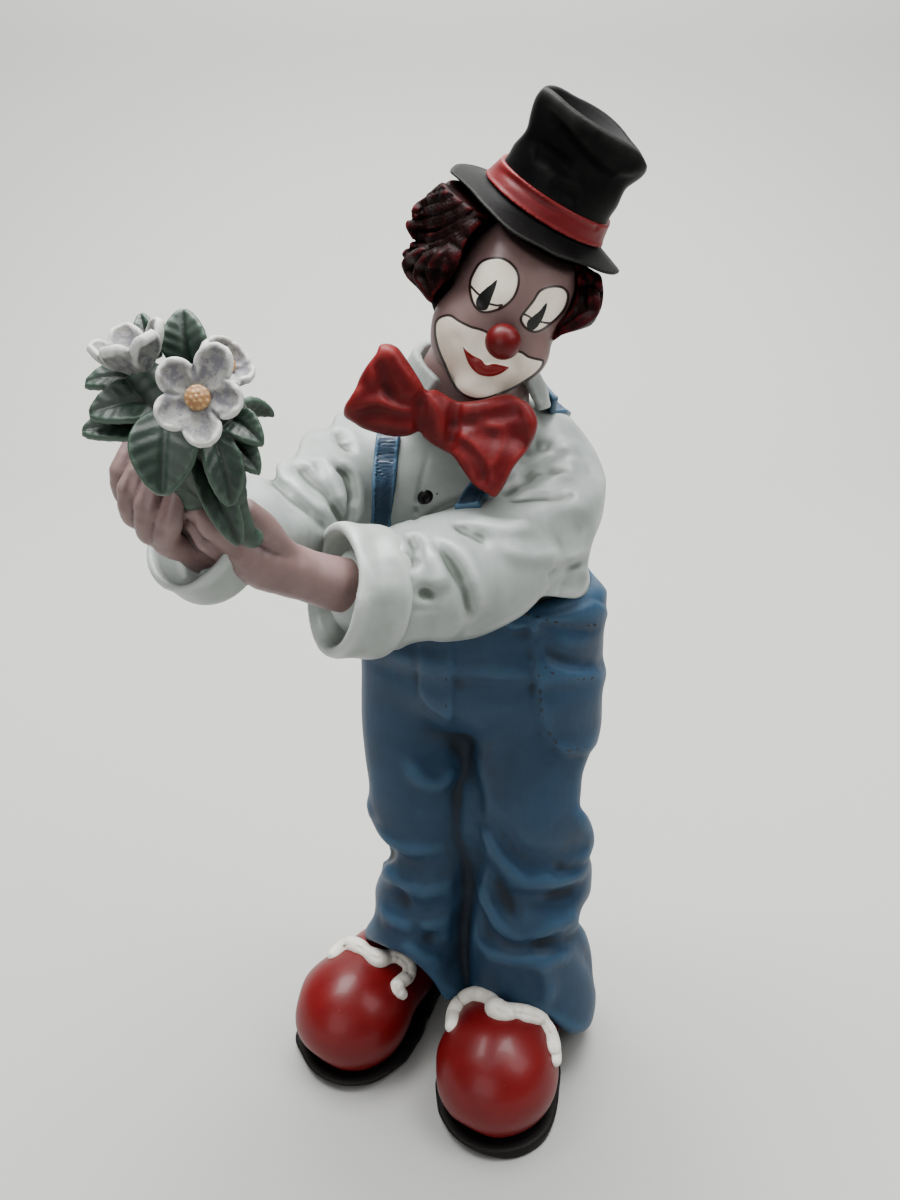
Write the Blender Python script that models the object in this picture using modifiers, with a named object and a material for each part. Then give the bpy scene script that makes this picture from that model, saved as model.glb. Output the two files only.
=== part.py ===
# A standing clown figurine that holds out a posy of white flowers.
# Two castings: the figure, and the posy that is glued into its hands.
# Positions are design millimetres on a figure 320 high, and every one is a share of HEIGHT.
import math

import bmesh
import bpy
from mathutils import Matrix, Vector

HEIGHT = 0.320
U = HEIGHT / 320
MIDDLE = Vector((-7.5, -32.5, 0.0))
GLUE_GAP = 0.45
GRAIN = 0.9
FIGURE_FACES = 7100
POSY_FACES = 2700
GRIP_FACES = 2400

for old in list(bpy.data.objects):
    bpy.data.objects.remove(old, do_unlink=True)

made = bpy.data.collections.new("clown_figurine")
cutters = bpy.data.collections.new("cutters")
bpy.context.scene.collection.children.link(made)
bpy.context.scene.collection.children.link(cutters)


def place(point):
    return (Vector(point[:3]) - MIDDLE) * U


def turned_to(axis, side=(0, 0, 1)):
    # A frame whose Z runs along the axis and whose X is as near to the side as it can be.
    z = Vector(axis).normalized()
    x = Vector(side) - z * z.dot(Vector(side))
    if x.length < 1e-6:
        x = z.orthogonal()
    x.normalize()
    return Matrix((x, z.cross(x), z)).transposed()


def keep(obj, group):
    for other in list(obj.users_collection):
        other.objects.unlink(obj)
    made.objects.link(obj)
    group.append(obj)
    return obj


def ball(group, at, size, axis=(0, 0, 1), side=(1, 0, 0), grow=0.0):
    # An ellipsoid. Its third size runs along the axis and its first along the side.
    bpy.ops.mesh.primitive_uv_sphere_add(segments=32, ring_count=20, radius=1.0)
    obj = bpy.context.object
    scale = Matrix.Diagonal([(s + grow) * U for s in size])
    obj.matrix_world = Matrix.Translation(place(at)) @ (turned_to(axis, side) @ scale).to_4x4()
    return keep(obj, group)


def limb(group, rows, grow=0.0, round_end=True):
    # A bar through the rows of x, y, z and radius. Its last end is round or cut square.
    curve = bpy.data.curves.new("limb", "CURVE")
    curve.dimensions = "3D"
    curve.bevel_depth = U
    curve.bevel_resolution = 5
    curve.resolution_u = 6
    curve.use_fill_caps = True
    curve.twist_mode = "MINIMUM"
    spline = curve.splines.new("BEZIER")
    spline.bezier_points.add(len(rows) - 1)
    for point, row in zip(spline.bezier_points, rows):
        point.co = place(row)
        point.radius = row[3] + grow
        point.handle_left_type = "AUTO"
        point.handle_right_type = "AUTO"
    obj = bpy.data.objects.new("limb", curve)
    keep(obj, group)
    for row in (rows[0], rows[-1]) if round_end else rows[:1]:
        ball(group, row, (row[3],) * 3, grow=grow)
    return obj


def lathe(group, at, axis, side, profile, squash=1.0):
    # A profile of radius and height, turned about the axis.
    mesh = bpy.data.meshes.new("lathe")
    points = [(r * U, 0.0, h * U) for r, h in profile]
    mesh.from_pydata(points, [(i, i + 1) for i in range(len(points) - 1)], [])
    obj = bpy.data.objects.new("lathe", mesh)
    turn = turned_to(axis, side) @ Matrix.Diagonal((1.0, squash, 1.0))
    obj.matrix_world = Matrix.Translation(place(at)) @ turn.to_4x4()
    screw = obj.modifiers.new("turn", "SCREW")
    screw.steps = 48
    screw.render_steps = 48
    screw.use_merge_vertices = True
    screw.merge_threshold = 0.00005
    screw.use_normal_calculate = True
    return keep(obj, group)


def unpinched(mesh):
    # Draws together the few edges where thinning has folded the skin onto itself.
    skin = bmesh.new()
    skin.from_mesh(mesh)
    bmesh.ops.remove_doubles(skin, verts=skin.verts, dist=1e-7)
    for _ in range(8):
        pinched = [edge for edge in skin.edges if len(edge.link_faces) != 2]
        if not pinched:
            break
        ends = pinched[0].verts
        bmesh.ops.pointmerge(skin, verts=ends, merge_co=(ends[0].co + ends[1].co) / 2)
        loose = [face for face in skin.faces if face.calc_area() < 1e-14]
        bmesh.ops.delete(skin, geom=loose, context="FACES_ONLY")
    bmesh.ops.triangulate(skin, faces=skin.faces)
    skin.to_mesh(mesh)
    skin.free()


def fused(name, group, voxel, rounds, faces):
    # One skin over all of a group's forms, softened and thinned out to so many triangles.
    bpy.ops.object.select_all(action="DESELECT")
    for obj in group:
        obj.select_set(True)
    bpy.context.view_layer.objects.active = group[0]
    bpy.ops.object.convert(target="MESH")
    whole = bpy.context.view_layer.objects.active
    bpy.ops.object.join()
    bpy.ops.object.transform_apply(location=True, rotation=True, scale=True)
    whole.name = name
    whole.data.name = name
    skin = whole.modifiers.new("skin", "REMESH")
    skin.mode = "VOXEL"
    skin.voxel_size = voxel * U
    soft = whole.modifiers.new("soften", "SMOOTH")
    soft.factor = 0.5
    soft.iterations = rounds
    bpy.ops.object.convert(target="MESH")
    thin = whole.modifiers.new("thin", "DECIMATE")
    thin.ratio = min(1.0, faces / (2 * len(whole.data.polygons)))
    bpy.ops.object.convert(target="MESH")
    unpinched(whole.data)
    return whole


def cut(whole, cutter, name):
    step = whole.modifiers.new(name, "BOOLEAN")
    step.operation = "DIFFERENCE"
    step.solver = "EXACT"
    step.object = cutter
    for other in list(cutter.users_collection):
        other.objects.unlink(cutter)
    cutters.objects.link(cutter)
    cutter.hide_render = True
    cutter.display_type = "WIRE"


def painted(whole, name, color, rough):
    material = bpy.data.materials.new(name)
    material.use_nodes = True
    shader = material.node_tree.nodes["Principled BSDF"]
    shader.inputs["Base Color"].default_value = (*color, 1.0)
    shader.inputs["Roughness"].default_value = rough
    whole.data.materials.clear()
    whole.data.materials.append(material)


figure = []

# Hips turned towards the figure's right, a baggy seat and two wide trouser legs.
LEFTWARD = (0.90, -0.42, 0.0)
ball(figure, (10, 4, 158), (41, 28, 27), side=LEFTWARD)
limb(figure, [(26, -3, 156, 22), (26.5, -5, 128, 22), (24.5, -5, 104, 21.5), (27.5, -4, 84, 22),
              (27, -3, 60, 22), (29.5, -1, 38, 24), (31, -4, 11, 25)], round_end=False)
limb(figure, [(-8, 7, 156, 21.5), (-9, 8, 128, 21.5), (-7, 8, 104, 21), (-3, 8, 78, 20),
              (-6, 10, 60, 21), (-9, 11, 42, 23), (-9, 9, 13, 24)], round_end=False)
limb(figure, [(7, 1, 140, 18), (8, 4, 110, 16), (10, 6, 70, 15), (10, 5, 42, 16), (11, 6, 26, 14)])
LEFT_LEG, RIGHT_LEG = (27, -5), (-7, 8)


def sunk(row, axle, depth):
    # The row moved in towards an upright axle.
    reach = math.dist(row[:2], axle)
    share = 1 - depth / reach
    return (axle[0] + (row[0] - axle[0]) * share, axle[1] + (row[1] - axle[1]) * share, *row[2:])


# Cloth rolls at the knees and over the shoes, and the sagging edge of a hip pocket.
for axle, rows in (
    (LEFT_LEG, [
        (4, -22, 86, 2.5), (18, -28, 93, 3), (34, -26.5, 92, 3.5), (46, -14, 86, 3.5), (48, 2, 82, 3)]),
    (LEFT_LEG, [(8, -24, 70, 2.5), (26, -27.5, 74, 3), (42, -19, 70, 3.5), (47, -4, 64, 3)]),
    (LEFT_LEG, [(12, -28, 44, 3), (30, -30, 42, 4), (46, -20, 36, 4), (51, -4, 28, 3.5)]),
    (LEFT_LEG, [(8, -24, 100, 2.5), (26, -26.5, 112, 3), (40, -19, 122, 2.5)]),
    (RIGHT_LEG, [(-25, -4, 84, 3), (-12, -12, 77, 3.5), (2, -12, 68, 3)]),
    (RIGHT_LEG, [(-24, 2, 58, 3.5), (-17, -10, 54, 3.5), (-4, -13, 44, 3.5)]),
    (RIGHT_LEG, [(-27, 4, 36, 4), (-20, -10, 40, 3.5), (-7, -14, 33, 3.5)]),
    (RIGHT_LEG, [(-24, -6, 118, 2.5), (-12, -13.5, 108, 2.5), (2, -12, 96, 2.5)]),
    (LEFT_LEG, [(29, -23, 166, 2.2), (34, -22.5, 154, 2.4), (42, -16, 148, 2.6), (46, -4, 153, 2.0)]),
):
    limb(figure, [sunk(row, axle, 1.6) for row in rows], grow=1.3)
# The waistband stands away from the shirt and rises to a peak at the back.
lathe(figure, (9, 2, 173), (0.05, 0.20, 1.0), LEFTWARD, [
    (0, -10), (38, -10), (40, -5), (39.5, 2), (38.5, 6.5), (36, 7), (34.5, 3), (0, 2)], squash=0.73)
ball(figure, (36, 24, 170), (12, 4.5, 11), side=(0.86, -0.50, 0))
ball(figure, (24, 26, 164), (16, 5, 9), side=(0.98, -0.20, 0))

# Shirt: a rounded body, full sleeves that reach out together, and deep turned-back cuffs.
limb(figure, [(10, 4, 174, 27), (8, 3, 190, 30), (4, 2, 212, 29), (5, 3, 228, 23), (8, -2, 240, 18)])
ball(figure, (9, 1, 188), (36, 28, 16), side=LEFTWARD)
ball(figure, (4, -2, 214), (33, 28.5, 25))
ball(figure, (-12, -8, 213), (20, 19.5, 27))
limb(figure, [(26, 8, 221, 18), (27, -6, 211, 19), (22, -24, 206, 19), (6, -40, 205, 18),
              (-8, -51, 206, 16.5), (-17, -57, 207, 13)])
limb(figure, [(-18, 4, 220, 16), (-30, -6, 217, 16), (-38, -28, 218, 14), (-45, -50, 221, 12.5),
              (-52, -68, 224, 10)])
for rows in (
    [(44, 0, 215, 3), (38, -20, 219, 3.2), (22, -39, 217, 3), (6, -50, 216, 2.5)],
    [(41, -8, 200, 3.5), (28, -35, 197, 3.5), (6, -52, 197, 3)],
    [(28, -32, 212, 2.5), (14, -46, 209, 3), (-4, -60, 207, 2.5)],
    [(26, 14, 236, 3), (38, 4, 229, 3), (42, -12, 219, 2.5)],
    [(12, -20, 232, 2.5), (24, -26, 224, 3), (26, -36, 214, 2.5)],
    [(-28, -4, 232, 3), (-38, -16, 230, 3), (-45, -34, 231, 2.8)],
    [(-40, 2, 226, 3), (-46, -12, 224, 3), (-49, -34, 224, 2.5)],
    [(38, -14, 190, 2.5), (20, -26, 184, 3), (2, -28, 183, 2.5)],
):
    limb(figure, rows)

CUFFS = (
    ((-22.5, -58.5, 208), (-0.845, -0.42, 0.24), 1.0),
    ((-54.5, -72, 225), (-0.42, -0.62, 0.66), 0.78),
)
for at, axis, size in CUFFS:
    lathe(figure, at, axis, (0, 0, 1), [
        (r * size, h * size) for r, h in (
            (0, -8), (12.5, -8), (15.5, -7.2), (16.6, -4), (16.2, 2), (16.6, 5), (15.4, 6.8),
            (13.2, 6.6), (12.2, 4), (12, 0.5), (9, -2), (0, -2.4))])

# Collar, and braces that show on the chest and over the shoulder.
limb(figure, [(-4, -25, 247, 3.4), (-11, -14, 250, 4.2), (-10, 0, 254, 4.5), (-3, 11, 255, 4.5),
              (10, 15, 254, 5), (23, 9, 249, 5), (28, -5, 244, 5), (25, -18, 242, 4.4), (16, -24, 243, 3.4)])
limb(figure, [(-16, -20, 240, 3.2), (-17.5, -25.5, 226, 3.2), (-18, -27, 212, 3.2), (-16, -23, 192, 3.2)])
limb(figure, [(35, 4, 239, 3), (28, -14, 238, 3.2), (14, -26, 228, 3.2), (5, -29, 214, 3.2),
              (3, -27, 192, 3.2)])

# Bow tie with a knot and two creased wings.
ball(figure, (-3, -33.5, 244.5), (5.2, 4.8, 6.8), side=(0.95, 0, -0.3))
for rows in (
    [(-5, -33, 247, 3.5), (-12, -34, 253, 5.5), (-18, -34, 256.5, 5.5)],
    [(-5, -33, 244, 3.5), (-13, -34, 246, 6), (-21, -34, 249.5, 5.5)],
    [(-1, -33, 246, 3.5), (8, -34, 245, 5.5), (16, -33.5, 243.5, 5.5)],
    [(-1, -34, 242, 3.5), (6, -36, 237, 5.5), (13, -37, 234, 6.5)],
    [(4, -35, 240, 3.5), (10, -38, 230.5, 5)],
):
    limb(figure, rows)

# Neck and head: an egg that leans to the figure's left, with cheeks, a chin and a ball nose.
HEAD = Vector((15.0, -19, 271.0))
RIGHT = Vector((0.921, 0.0, -0.389))
FRONT = Vector((-0.04, -0.99, -0.11))
CROWN = Vector((0.39, -0.11, 0.915))


def on_head(right, front, up):
    return HEAD + RIGHT * right + FRONT * front + CROWN * up


limb(figure, [(6, -4, 238, 10), (8, -10, 250, 9), (12, -16, 262, 10)])
ball(figure, on_head(0, -1, 2), (15.2, 17, 19), axis=CROWN, side=RIGHT)
ball(figure, on_head(0, 5, -12), (11.5, 10.5, 11.5), axis=CROWN, side=RIGHT)
for hand in (-1, 1):
    ball(figure, on_head(8 * hand, 9, -8), (6, 6, 7), axis=CROWN, side=RIGHT)
ball(figure, on_head(0, 19.5, -6.5), (4.3, 4.3, 4.3))
ball(figure, on_head(0, 12, -20), (5.5, 4, 4), axis=CROWN, side=RIGHT)

# Wavy hair: a bunch at each side and locks round the back of the head.
ball(figure, on_head(0, -6, 4), (17, 15, 17), axis=CROWN, side=RIGHT)
for hand, reach in ((-1, 1.0), (1, 0.66)):
    for i in range(8):
        turn = math.radians(-62 + 26 * i)
        out = 20 + 6.0 * reach * math.sin(math.radians(35 + 20 * i))
        start = on_head(hand * 13, 7 - 3.6 * i, 14)
        belly = on_head(hand * out, 9 - 3.6 * i, 5 + 1.5 * math.sin(turn))
        end = on_head(hand * (13 + 4 * reach), 6 - 3.4 * i, -7 - 1.2 * i)
        limb(figure, [(*start, 3.4), (*belly, 4.6 * reach), (*end, 3.2)])
    ball(figure, on_head(hand * 15, -5, 3), (6.5 * reach, 13, 13), axis=CROWN, side=RIGHT)
for i in range(-4, 5):
    limb(figure, [(*on_head(3.2 * i, -18, 14), 3.0), (*on_head(3.9 * i, -22, 2), 3.6),
                  (*on_head(3.4 * i, -18, -12), 3.0)])

# Battered top hat: a curled brim, a waisted crown and a dented top.
BRIM = Vector((21.6, -13, 288.65))
UPRIGHT = Vector((0.475, -0.20, 0.857))
lathe(figure, BRIM, UPRIGHT, (1, 0, 0), [
    (0.0, -4.0), (14.0, -4.0), (16.0, -1.6), (20.0, -1.2), (23.6, -0.2), (24.9, 1.0), (24.4, 2.0),
    (22.4, 2.1), (18.0, 1.4), (15.6, 2.2), (15.0, 4.0), (14.9, 8.0), (14.2, 12.0), (14.4, 17.0),
    (16.2, 23.0), (17.2, 26.0), (16.2, 27.6), (12.0, 26.6), (0.0, 25.2)], squash=0.95)

# Shoes: round bulbous toes on flat soles, with ribbon-like laces.
for toe, heel, lace in (
    ((16, -34), (30, 12), [
        (2, -27, 37, 3), (10, -29, 43, 3.2), (19, -30, 41, 4), (28, -29, 38, 3.2), (35, -32, 27, 3)]),
    ((-36, -8), (-11, 31), [
        (-42, -2, 42, 3), (-34, -4, 44, 3.2), (-25, -8, 41, 3.2), (-17, -12, 36, 3.2), (-15, -15, 28, 3)]),
):
    ball(figure, (*toe, 17), (21, 21, 19))
    instep = ((toe[0] + heel[0]) / 2, (toe[1] + heel[1]) / 2)
    limb(figure, [(*toe, 16, 17), (*instep, 14, 16), (*heel, 12, 13.4)])
    for share, radius in ((0, 21.8), (0.25, 20), (0.5, 17), (0.75, 15), (1, 14)):
        spot = (toe[0] + (heel[0] - toe[0]) * share, toe[1] + (heel[1] - toe[1]) * share, 0)
        lathe(figure, spot, (0, 0, 1), (1, 0, 0), [
            (0, -4), (radius, -4), (radius, 3.2), (radius - 1.2, 3.8), (0, 3.8)])
    limb(figure, lace)


# Hands. The left crosses in front with its palm up, and the right cups the posy from behind.
def hands(group, grow):
    limb(group, [
        (-13, -53, 205, 7.6), (-20, -58.5, 208.5, 7.0), (-28, -65, 213, 6.4), (-36, -70, 218, 5.8)], grow)
    limb(group, [(-36, -70, 218, 5.8), (-41, -74.5, 221.5, 6.0), (-46, -78.5, 226, 4.8)], grow)
    for rows in (
        [(-41, -75, 221, 3.6), (-47.3, -79, 225.5, 2.9), (-51, -82, 230, 2.7), (-53.3, -84, 234.5, 2.1)],
        [(-40, -75.5, 222.5, 3.4), (-46.1, -80, 228.1, 2.9), (-49.7, -84, 233.4, 2.6),
         (-52.5, -86.5, 238, 2.1)],
        [(-42, -74, 219.5, 3.6), (-48, -77, 223.5, 2.8), (-52, -79, 228, 2.4), (-53.5, -81, 231, 2.0)],
        [(-36, -70, 219, 5.0), (-38.3, -73.5, 224.5, 3.8), (-40.2, -78, 231.5, 3.2),
         (-42.8, -81, 236.5, 2.4)],
        [(-50, -64, 221, 7.0), (-54.5, -71, 225, 7.0), (-56, -76, 231, 6.5), (-57, -78, 235, 4.5)],
        [(-55, -76, 226, 4.0), (-59, -84.5, 230.5, 3.0), (-56.8, -88.5, 237, 2.7), (-55, -88, 242, 2.2)],
        [(-57, -76, 228, 4.0), (-62, -84.5, 233, 3.0), (-61, -87.5, 239.5, 2.8), (-59.6, -86, 244, 2.2)],
        [(-59, -75, 230, 4.0), (-65.2, -83, 236.2, 3.0), (-64.6, -85.5, 242.3, 2.8), (-63, -83, 247, 2.2)],
        [(-60, -74, 231, 4.0), (-67.5, -79.5, 239.5, 2.8), (-67.2, -81.5, 245, 2.6),
         (-65.5, -79, 249.8, 2.1)],
    ):
        limb(group, rows, grow)


hands(figure, 0.0)

clown = fused("clown_figure", figure, GRAIN, 5, FIGURE_FACES)
clown_paint = (0.09, 0.20, 0.31)
painted(clown, "painted_resin", clown_paint, 0.45)
bpy.ops.mesh.primitive_cube_add(size=1.0)
floor = bpy.context.object
floor.name = "floor_cut"
floor.scale = (0.9 * HEIGHT, 0.9 * HEIGHT, 0.2 * HEIGHT)
floor.location = (0.0, 0.0, -0.1 * HEIGHT)
cut(clown, floor, "flat_soles")

# The posy: stems and a leafy mass, oval leaves, and three five-petalled flowers.
posy = []
limb(posy, [(-41, -84, 233, 3.5), (-46, -87, 243, 6), (-50, -89, 254, 9), (-51, -89, 264, 8)])
ball(posy, (-50, -88, 256), (12, 10, 11))


def leaf(group, root, tip, width, up, thick=1.3):
    # An oval leaf with a raised midrib.
    root, tip = Vector(root), Vector(tip)
    along = tip - root
    middle = (root + tip) / 2
    ball(group, middle, (width / 2, thick, along.length / 2), axis=along, side=along.cross(Vector(up)))
    rib = middle + Vector(up).normalized() * thick * 0.6
    limb(group, [(*root, 1.4), (*rib, 1.2), (*tip, 0.9)])


for root, tip, width, up in (
    ((-50, -94, 262), (-55, -108, 247), 13, (0.2, -0.8, 0.5)),
    ((-44, -94, 258), (-44, -106, 247), 11, (0.3, -0.8, 0.4)),
    ((-42, -90, 250), (-40, -98, 233), 9, (0.5, -0.8, 0.3)),
    ((-44, -90, 254), (-35, -96, 251), 8, (0.2, -0.8, 0.5)),
    ((-46, -84, 256), (-37.5, -93, 257), 7, (0.2, -0.7, 0.6)),
    ((-54, -90, 264), (-67, -92, 264), 10, (0, -0.5, 0.8)),
    ((-54, -92, 258), (-66, -98, 255), 12, (0, -0.6, 0.7)),
    ((-54, -92, 252), (-64, -98, 246), 10, (0, -0.7, 0.6)),
    ((-50, -82, 260), (-51.5, -81, 273.5), 8, (0, -0.9, 0.3)),
    ((-54, -82, 254), (-66, -78, 252), 9, (0, 0.6, 0.7)),
    ((-46, -80, 254), (-38, -72, 256), 9, (0, 0.6, 0.7)),
):
    leaf(posy, root, tip, width, up)


def flower(group, at, face, radius, first):
    # Five rounded petals round a domed centre.
    at, face = Vector(at), Vector(face).normalized()
    frame = turned_to(face)
    for i in range(5):
        angle = math.radians(first + 72 * i)
        out = frame @ Vector((math.cos(angle), math.sin(angle), 0.12))
        side = face.cross(out)
        ball(group, at + out * radius * 0.6, (radius * 0.40, 1.5, radius * 0.44), axis=out, side=side)
    ball(group, at + face * 0.8, (radius * 0.27,) * 3)
    limb(group, [(*(at - face * 9), 3.0), (*(at - face * 4), 3.4), (*at, 3.0)])


flower(posy, (-43.0, -104, 264.8), (0.15, -0.92, 0.36), 10.8, 10)
flower(posy, (-57.5, -93, 272), (-0.35, -0.40, 0.84), 10.5, 40)
flower(posy, (-46.5, -87, 265), (0.45, -0.40, 0.78), 9.0, 30)

bunch = fused("bouquet", posy, 0.7, 3, POSY_FACES)
painted(bunch, "painted_posy", (0.05, 0.11, 0.09), 0.5)
grip = []
hands(grip, GLUE_GAP)
grip_cut = fused("grip_cut", grip, GRAIN, 2, GRIP_FACES)
cut(bunch, grip_cut, "room_for_hands")
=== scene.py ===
import math

import bmesh
import bpy
import numpy as np
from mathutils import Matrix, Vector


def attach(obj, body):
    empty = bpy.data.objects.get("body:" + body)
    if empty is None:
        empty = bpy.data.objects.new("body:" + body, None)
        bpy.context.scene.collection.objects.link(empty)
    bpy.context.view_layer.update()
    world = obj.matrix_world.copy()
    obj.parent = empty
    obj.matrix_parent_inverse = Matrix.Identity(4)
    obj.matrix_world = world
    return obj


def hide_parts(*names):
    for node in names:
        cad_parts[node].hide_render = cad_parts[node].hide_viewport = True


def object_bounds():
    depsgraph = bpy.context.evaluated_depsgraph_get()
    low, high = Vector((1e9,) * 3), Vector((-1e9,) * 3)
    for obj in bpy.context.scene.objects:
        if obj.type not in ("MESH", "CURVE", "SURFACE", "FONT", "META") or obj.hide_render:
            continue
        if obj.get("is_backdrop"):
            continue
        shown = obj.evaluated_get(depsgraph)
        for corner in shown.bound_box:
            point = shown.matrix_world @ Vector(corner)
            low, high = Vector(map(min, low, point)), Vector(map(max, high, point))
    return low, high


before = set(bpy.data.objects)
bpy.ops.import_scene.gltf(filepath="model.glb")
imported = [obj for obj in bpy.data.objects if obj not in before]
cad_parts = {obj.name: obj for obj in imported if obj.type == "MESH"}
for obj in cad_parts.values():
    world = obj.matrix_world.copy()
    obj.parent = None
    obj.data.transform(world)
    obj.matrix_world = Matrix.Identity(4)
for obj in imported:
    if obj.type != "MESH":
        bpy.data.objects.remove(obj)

import openvdb
from mathutils import Matrix, Vector

cad_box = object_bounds()

# The figurine stands on a pale sweep of card, seen a little from above, with the wall well behind it.
# Forms are in millimetres with x to the right, y away and z up, and MIDDLE lies under the figurine's centre.
MIDDLE = np.array((-7.5, -32.5, 0.0))
EYE = np.array((0.0, -275.0, 302.0))
LOOK_DOWN = math.radians(24.0)
FOCUS = 970.0
PHOTO_MIDDLE = (450.0, 600.0)
SENSOR, PHOTO_HIGH = 36.0, 1200.0
COS, SIN = math.cos(LOOK_DOWN), math.sin(LOOK_DOWN)


def metres(points):
    """Millimetres of the figurine as metres of the frame."""
    return (np.asarray(points, float) - MIDDLE) * 0.001


lens = bpy.data.cameras.new("camera")
lens.sensor_width = SENSOR
lens.lens = FOCUS / PHOTO_HIGH * SENSOR
camera = bpy.data.objects.new("camera", lens)
camera.location = metres(EYE)
camera.rotation_euler = (math.pi / 2 - LOOK_DOWN, 0.0, 0.0)
bpy.context.scene.collection.objects.link(camera)
bpy.context.scene.camera = camera

WALL_START, WALL_BEND, WALL_TOP, HALF_WIDTH, FRONT = 0.75, 0.45, 3.0, 3.5, -2.5


def sweep_line():
    """The card's section: flat, then a quarter circle up into a wall."""
    yield FRONT, 0.0
    for step in range(25):
        turn = math.radians(90 * step / 24)
        yield WALL_START + WALL_BEND * math.sin(turn), WALL_BEND * (1 - math.cos(turn))
    yield WALL_START + WALL_BEND, WALL_TOP


section = list(sweep_line())
card = bpy.data.meshes.new("card")
card.from_pydata(
    [(side * HALF_WIDTH, y, z) for y, z in section for side in (-1, 1)], [],
    [(2 * i, 2 * i + 1, 2 * i + 3, 2 * i + 2) for i in range(len(section) - 1)])
card.shade_smooth()
sweep = bpy.data.objects.new("card", card)
bpy.context.scene.collection.objects.link(sweep)
sweep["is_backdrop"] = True
card_paint = bpy.data.materials.new("card")
card_paint.use_nodes = True
card_paint.node_tree.nodes["Principled BSDF"].inputs["Base Color"].default_value = (0.31, 0.31, 0.297, 1)
card_paint.node_tree.nodes["Principled BSDF"].inputs["Roughness"].default_value = 0.75
card.materials.append(card_paint)

for name, at, aim, size, power in (
    ("window light", (0.70, -0.30, 0.90), (0, 0, 0.15), 0.6, 5.7),
    ("ceiling light", (-0.30, -0.20, 1.15), (0, 0, 0.15), 0.9, 4.5),
    ("wall light", (0.0, 0.45, 1.60), (0, 1.20, 0.50), 1.4, 130.0),
    ("fill light", (-0.45, -1.0, 0.50), (0, 0, 0.22), 0.8, 4.6),
):
    lamp = bpy.data.lights.new(name, "AREA")
    lamp.size = size
    lamp.energy = power
    light = bpy.data.objects.new(name, lamp)
    light.location = at
    light.rotation_euler = (Vector(at) - Vector(aim)).to_track_quat("Z", "Y").to_euler()
    bpy.context.scene.collection.objects.link(light)
sky = bpy.data.worlds.new("studio")
sky.use_nodes = True
sky.node_tree.nodes["Background"].inputs["Color"].default_value = (1.0, 0.99, 0.97, 1)
sky.node_tree.nodes["Background"].inputs["Strength"].default_value = 0.16
bpy.context.scene.world = sky


# The soles are thick black rubber, cast with the shoes and painted with a satin black.
# Each follows a row of circles from the round toe to the narrower heel and stands flat on the ground.
def unit(vector):
    """The same direction, one long."""
    vector = np.asarray(vector, float)
    return vector / np.linalg.norm(vector)


def turned(axis, side):
    """Three directions: the side, across it, and the axis."""
    up = unit(axis)
    across = unit(np.cross(up, side))
    return np.cross(across, up), across, up


def smooth_rows(rows, step, closed=False, span=3):
    """Rows of numbers read closely along a smooth curve that passes through them all."""
    rows = np.array(rows, float)
    if closed:
        rows = np.vstack([rows[-1:], rows, rows[:2]])
    else:
        rows = np.vstack([2 * rows[:1] - rows[1:2], rows, 2 * rows[-1:] - rows[-2:-1]])
    found = []
    for a, b, c, d in zip(rows, rows[1:], rows[2:], rows[3:]):
        count = max(1, int(np.ceil(np.linalg.norm((c - b)[:span]) / step)))
        t = np.arange(count)[:, None] / count
        found.append(0.5 * (2 * b + (c - a) * t + (2 * a - 5 * b + 4 * c - d) * t ** 2
                            + (3 * b - a - 3 * c + d) * t ** 3))
    if not closed:
        found.append(rows[-2:-1])
    return np.vstack(found)


def outline_distance(outline, x, y):
    """How far points lie from a closed outline, below zero inside it."""
    nearest = 1e12
    inside = False
    for (ax, ay), (bx, by) in zip(outline, np.roll(outline, -1, axis=0)):
        along_x, along_y = bx - ax, by - ay
        length = along_x ** 2 + along_y ** 2 + 1e-12
        share = np.clip(((x - ax) * along_x + (y - ay) * along_y) / length, 0, 1)
        nearest = np.minimum(nearest, (x - ax - share * along_x) ** 2 + (y - ay - share * along_y) ** 2)
        crossing = ((ay > y) != (by > y)) & (x < along_x * (y - ay) / (along_y if along_y else 1e-12) + ax)
        inside = inside ^ crossing
    return np.where(inside, -1, 1) * np.sqrt(nearest)


def photo_place(x, y, z):
    """Where the photograph shows a point of the figurine, in pixels across and down."""
    deep = (y - EYE[1]) * COS - (z - EYE[2]) * SIN
    high = (y - EYE[1]) * SIN + (z - EYE[2]) * COS
    return PHOTO_MIDDLE[0] + FOCUS * (x - EYE[0]) / deep, PHOTO_MIDDLE[1] - FOCUS * high / deep


def outline_raster(outline):
    """A closed outline's distances on a raster of pixels, with the raster's corner."""
    line = smooth_rows(outline, 6.0, closed=True, span=2)
    corner = np.floor(line.min(0) - 26.0)
    spans = [np.arange(start, end) for start, end in zip(corner, line.max(0) + 28.0)]
    return corner, outline_distance(line, *np.ix_(*spans))


def outside_outline(outline, place):
    """How far points show outside a closed outline of pixels, in millimetres at their own distance."""
    corner, raster = outline_raster(outline)
    x, y, z = place
    across, down = photo_place(x, y, z)
    spot = [np.clip(value - start, 0, size - 1.001) for value, start, size in
            zip((across, down), corner, raster.shape)]
    cell = [value.astype(int) for value in spot]
    share = [value - whole for value, whole in zip(spot, cell)]
    upper = raster[cell[0], cell[1]] * (1 - share[0]) + raster[cell[0] + 1, cell[1]] * share[0]
    lower = raster[cell[0], cell[1] + 1] * (1 - share[0]) + raster[cell[0] + 1, cell[1] + 1] * share[0]
    gap = upper * (1 - share[1]) + lower * share[1]
    return gap * (((y - EYE[1]) * COS - (z - EYE[2]) * SIN) / FOCUS)


def melted(first, second, melt):
    """The nearer of two distances, with a soft fillet where they meet."""
    share = np.clip(0.5 + 0.5 * (second - first) / melt, 0.0, 1.0)
    return second + (first - second) * share - melt * share * (1.0 - share)


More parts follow.
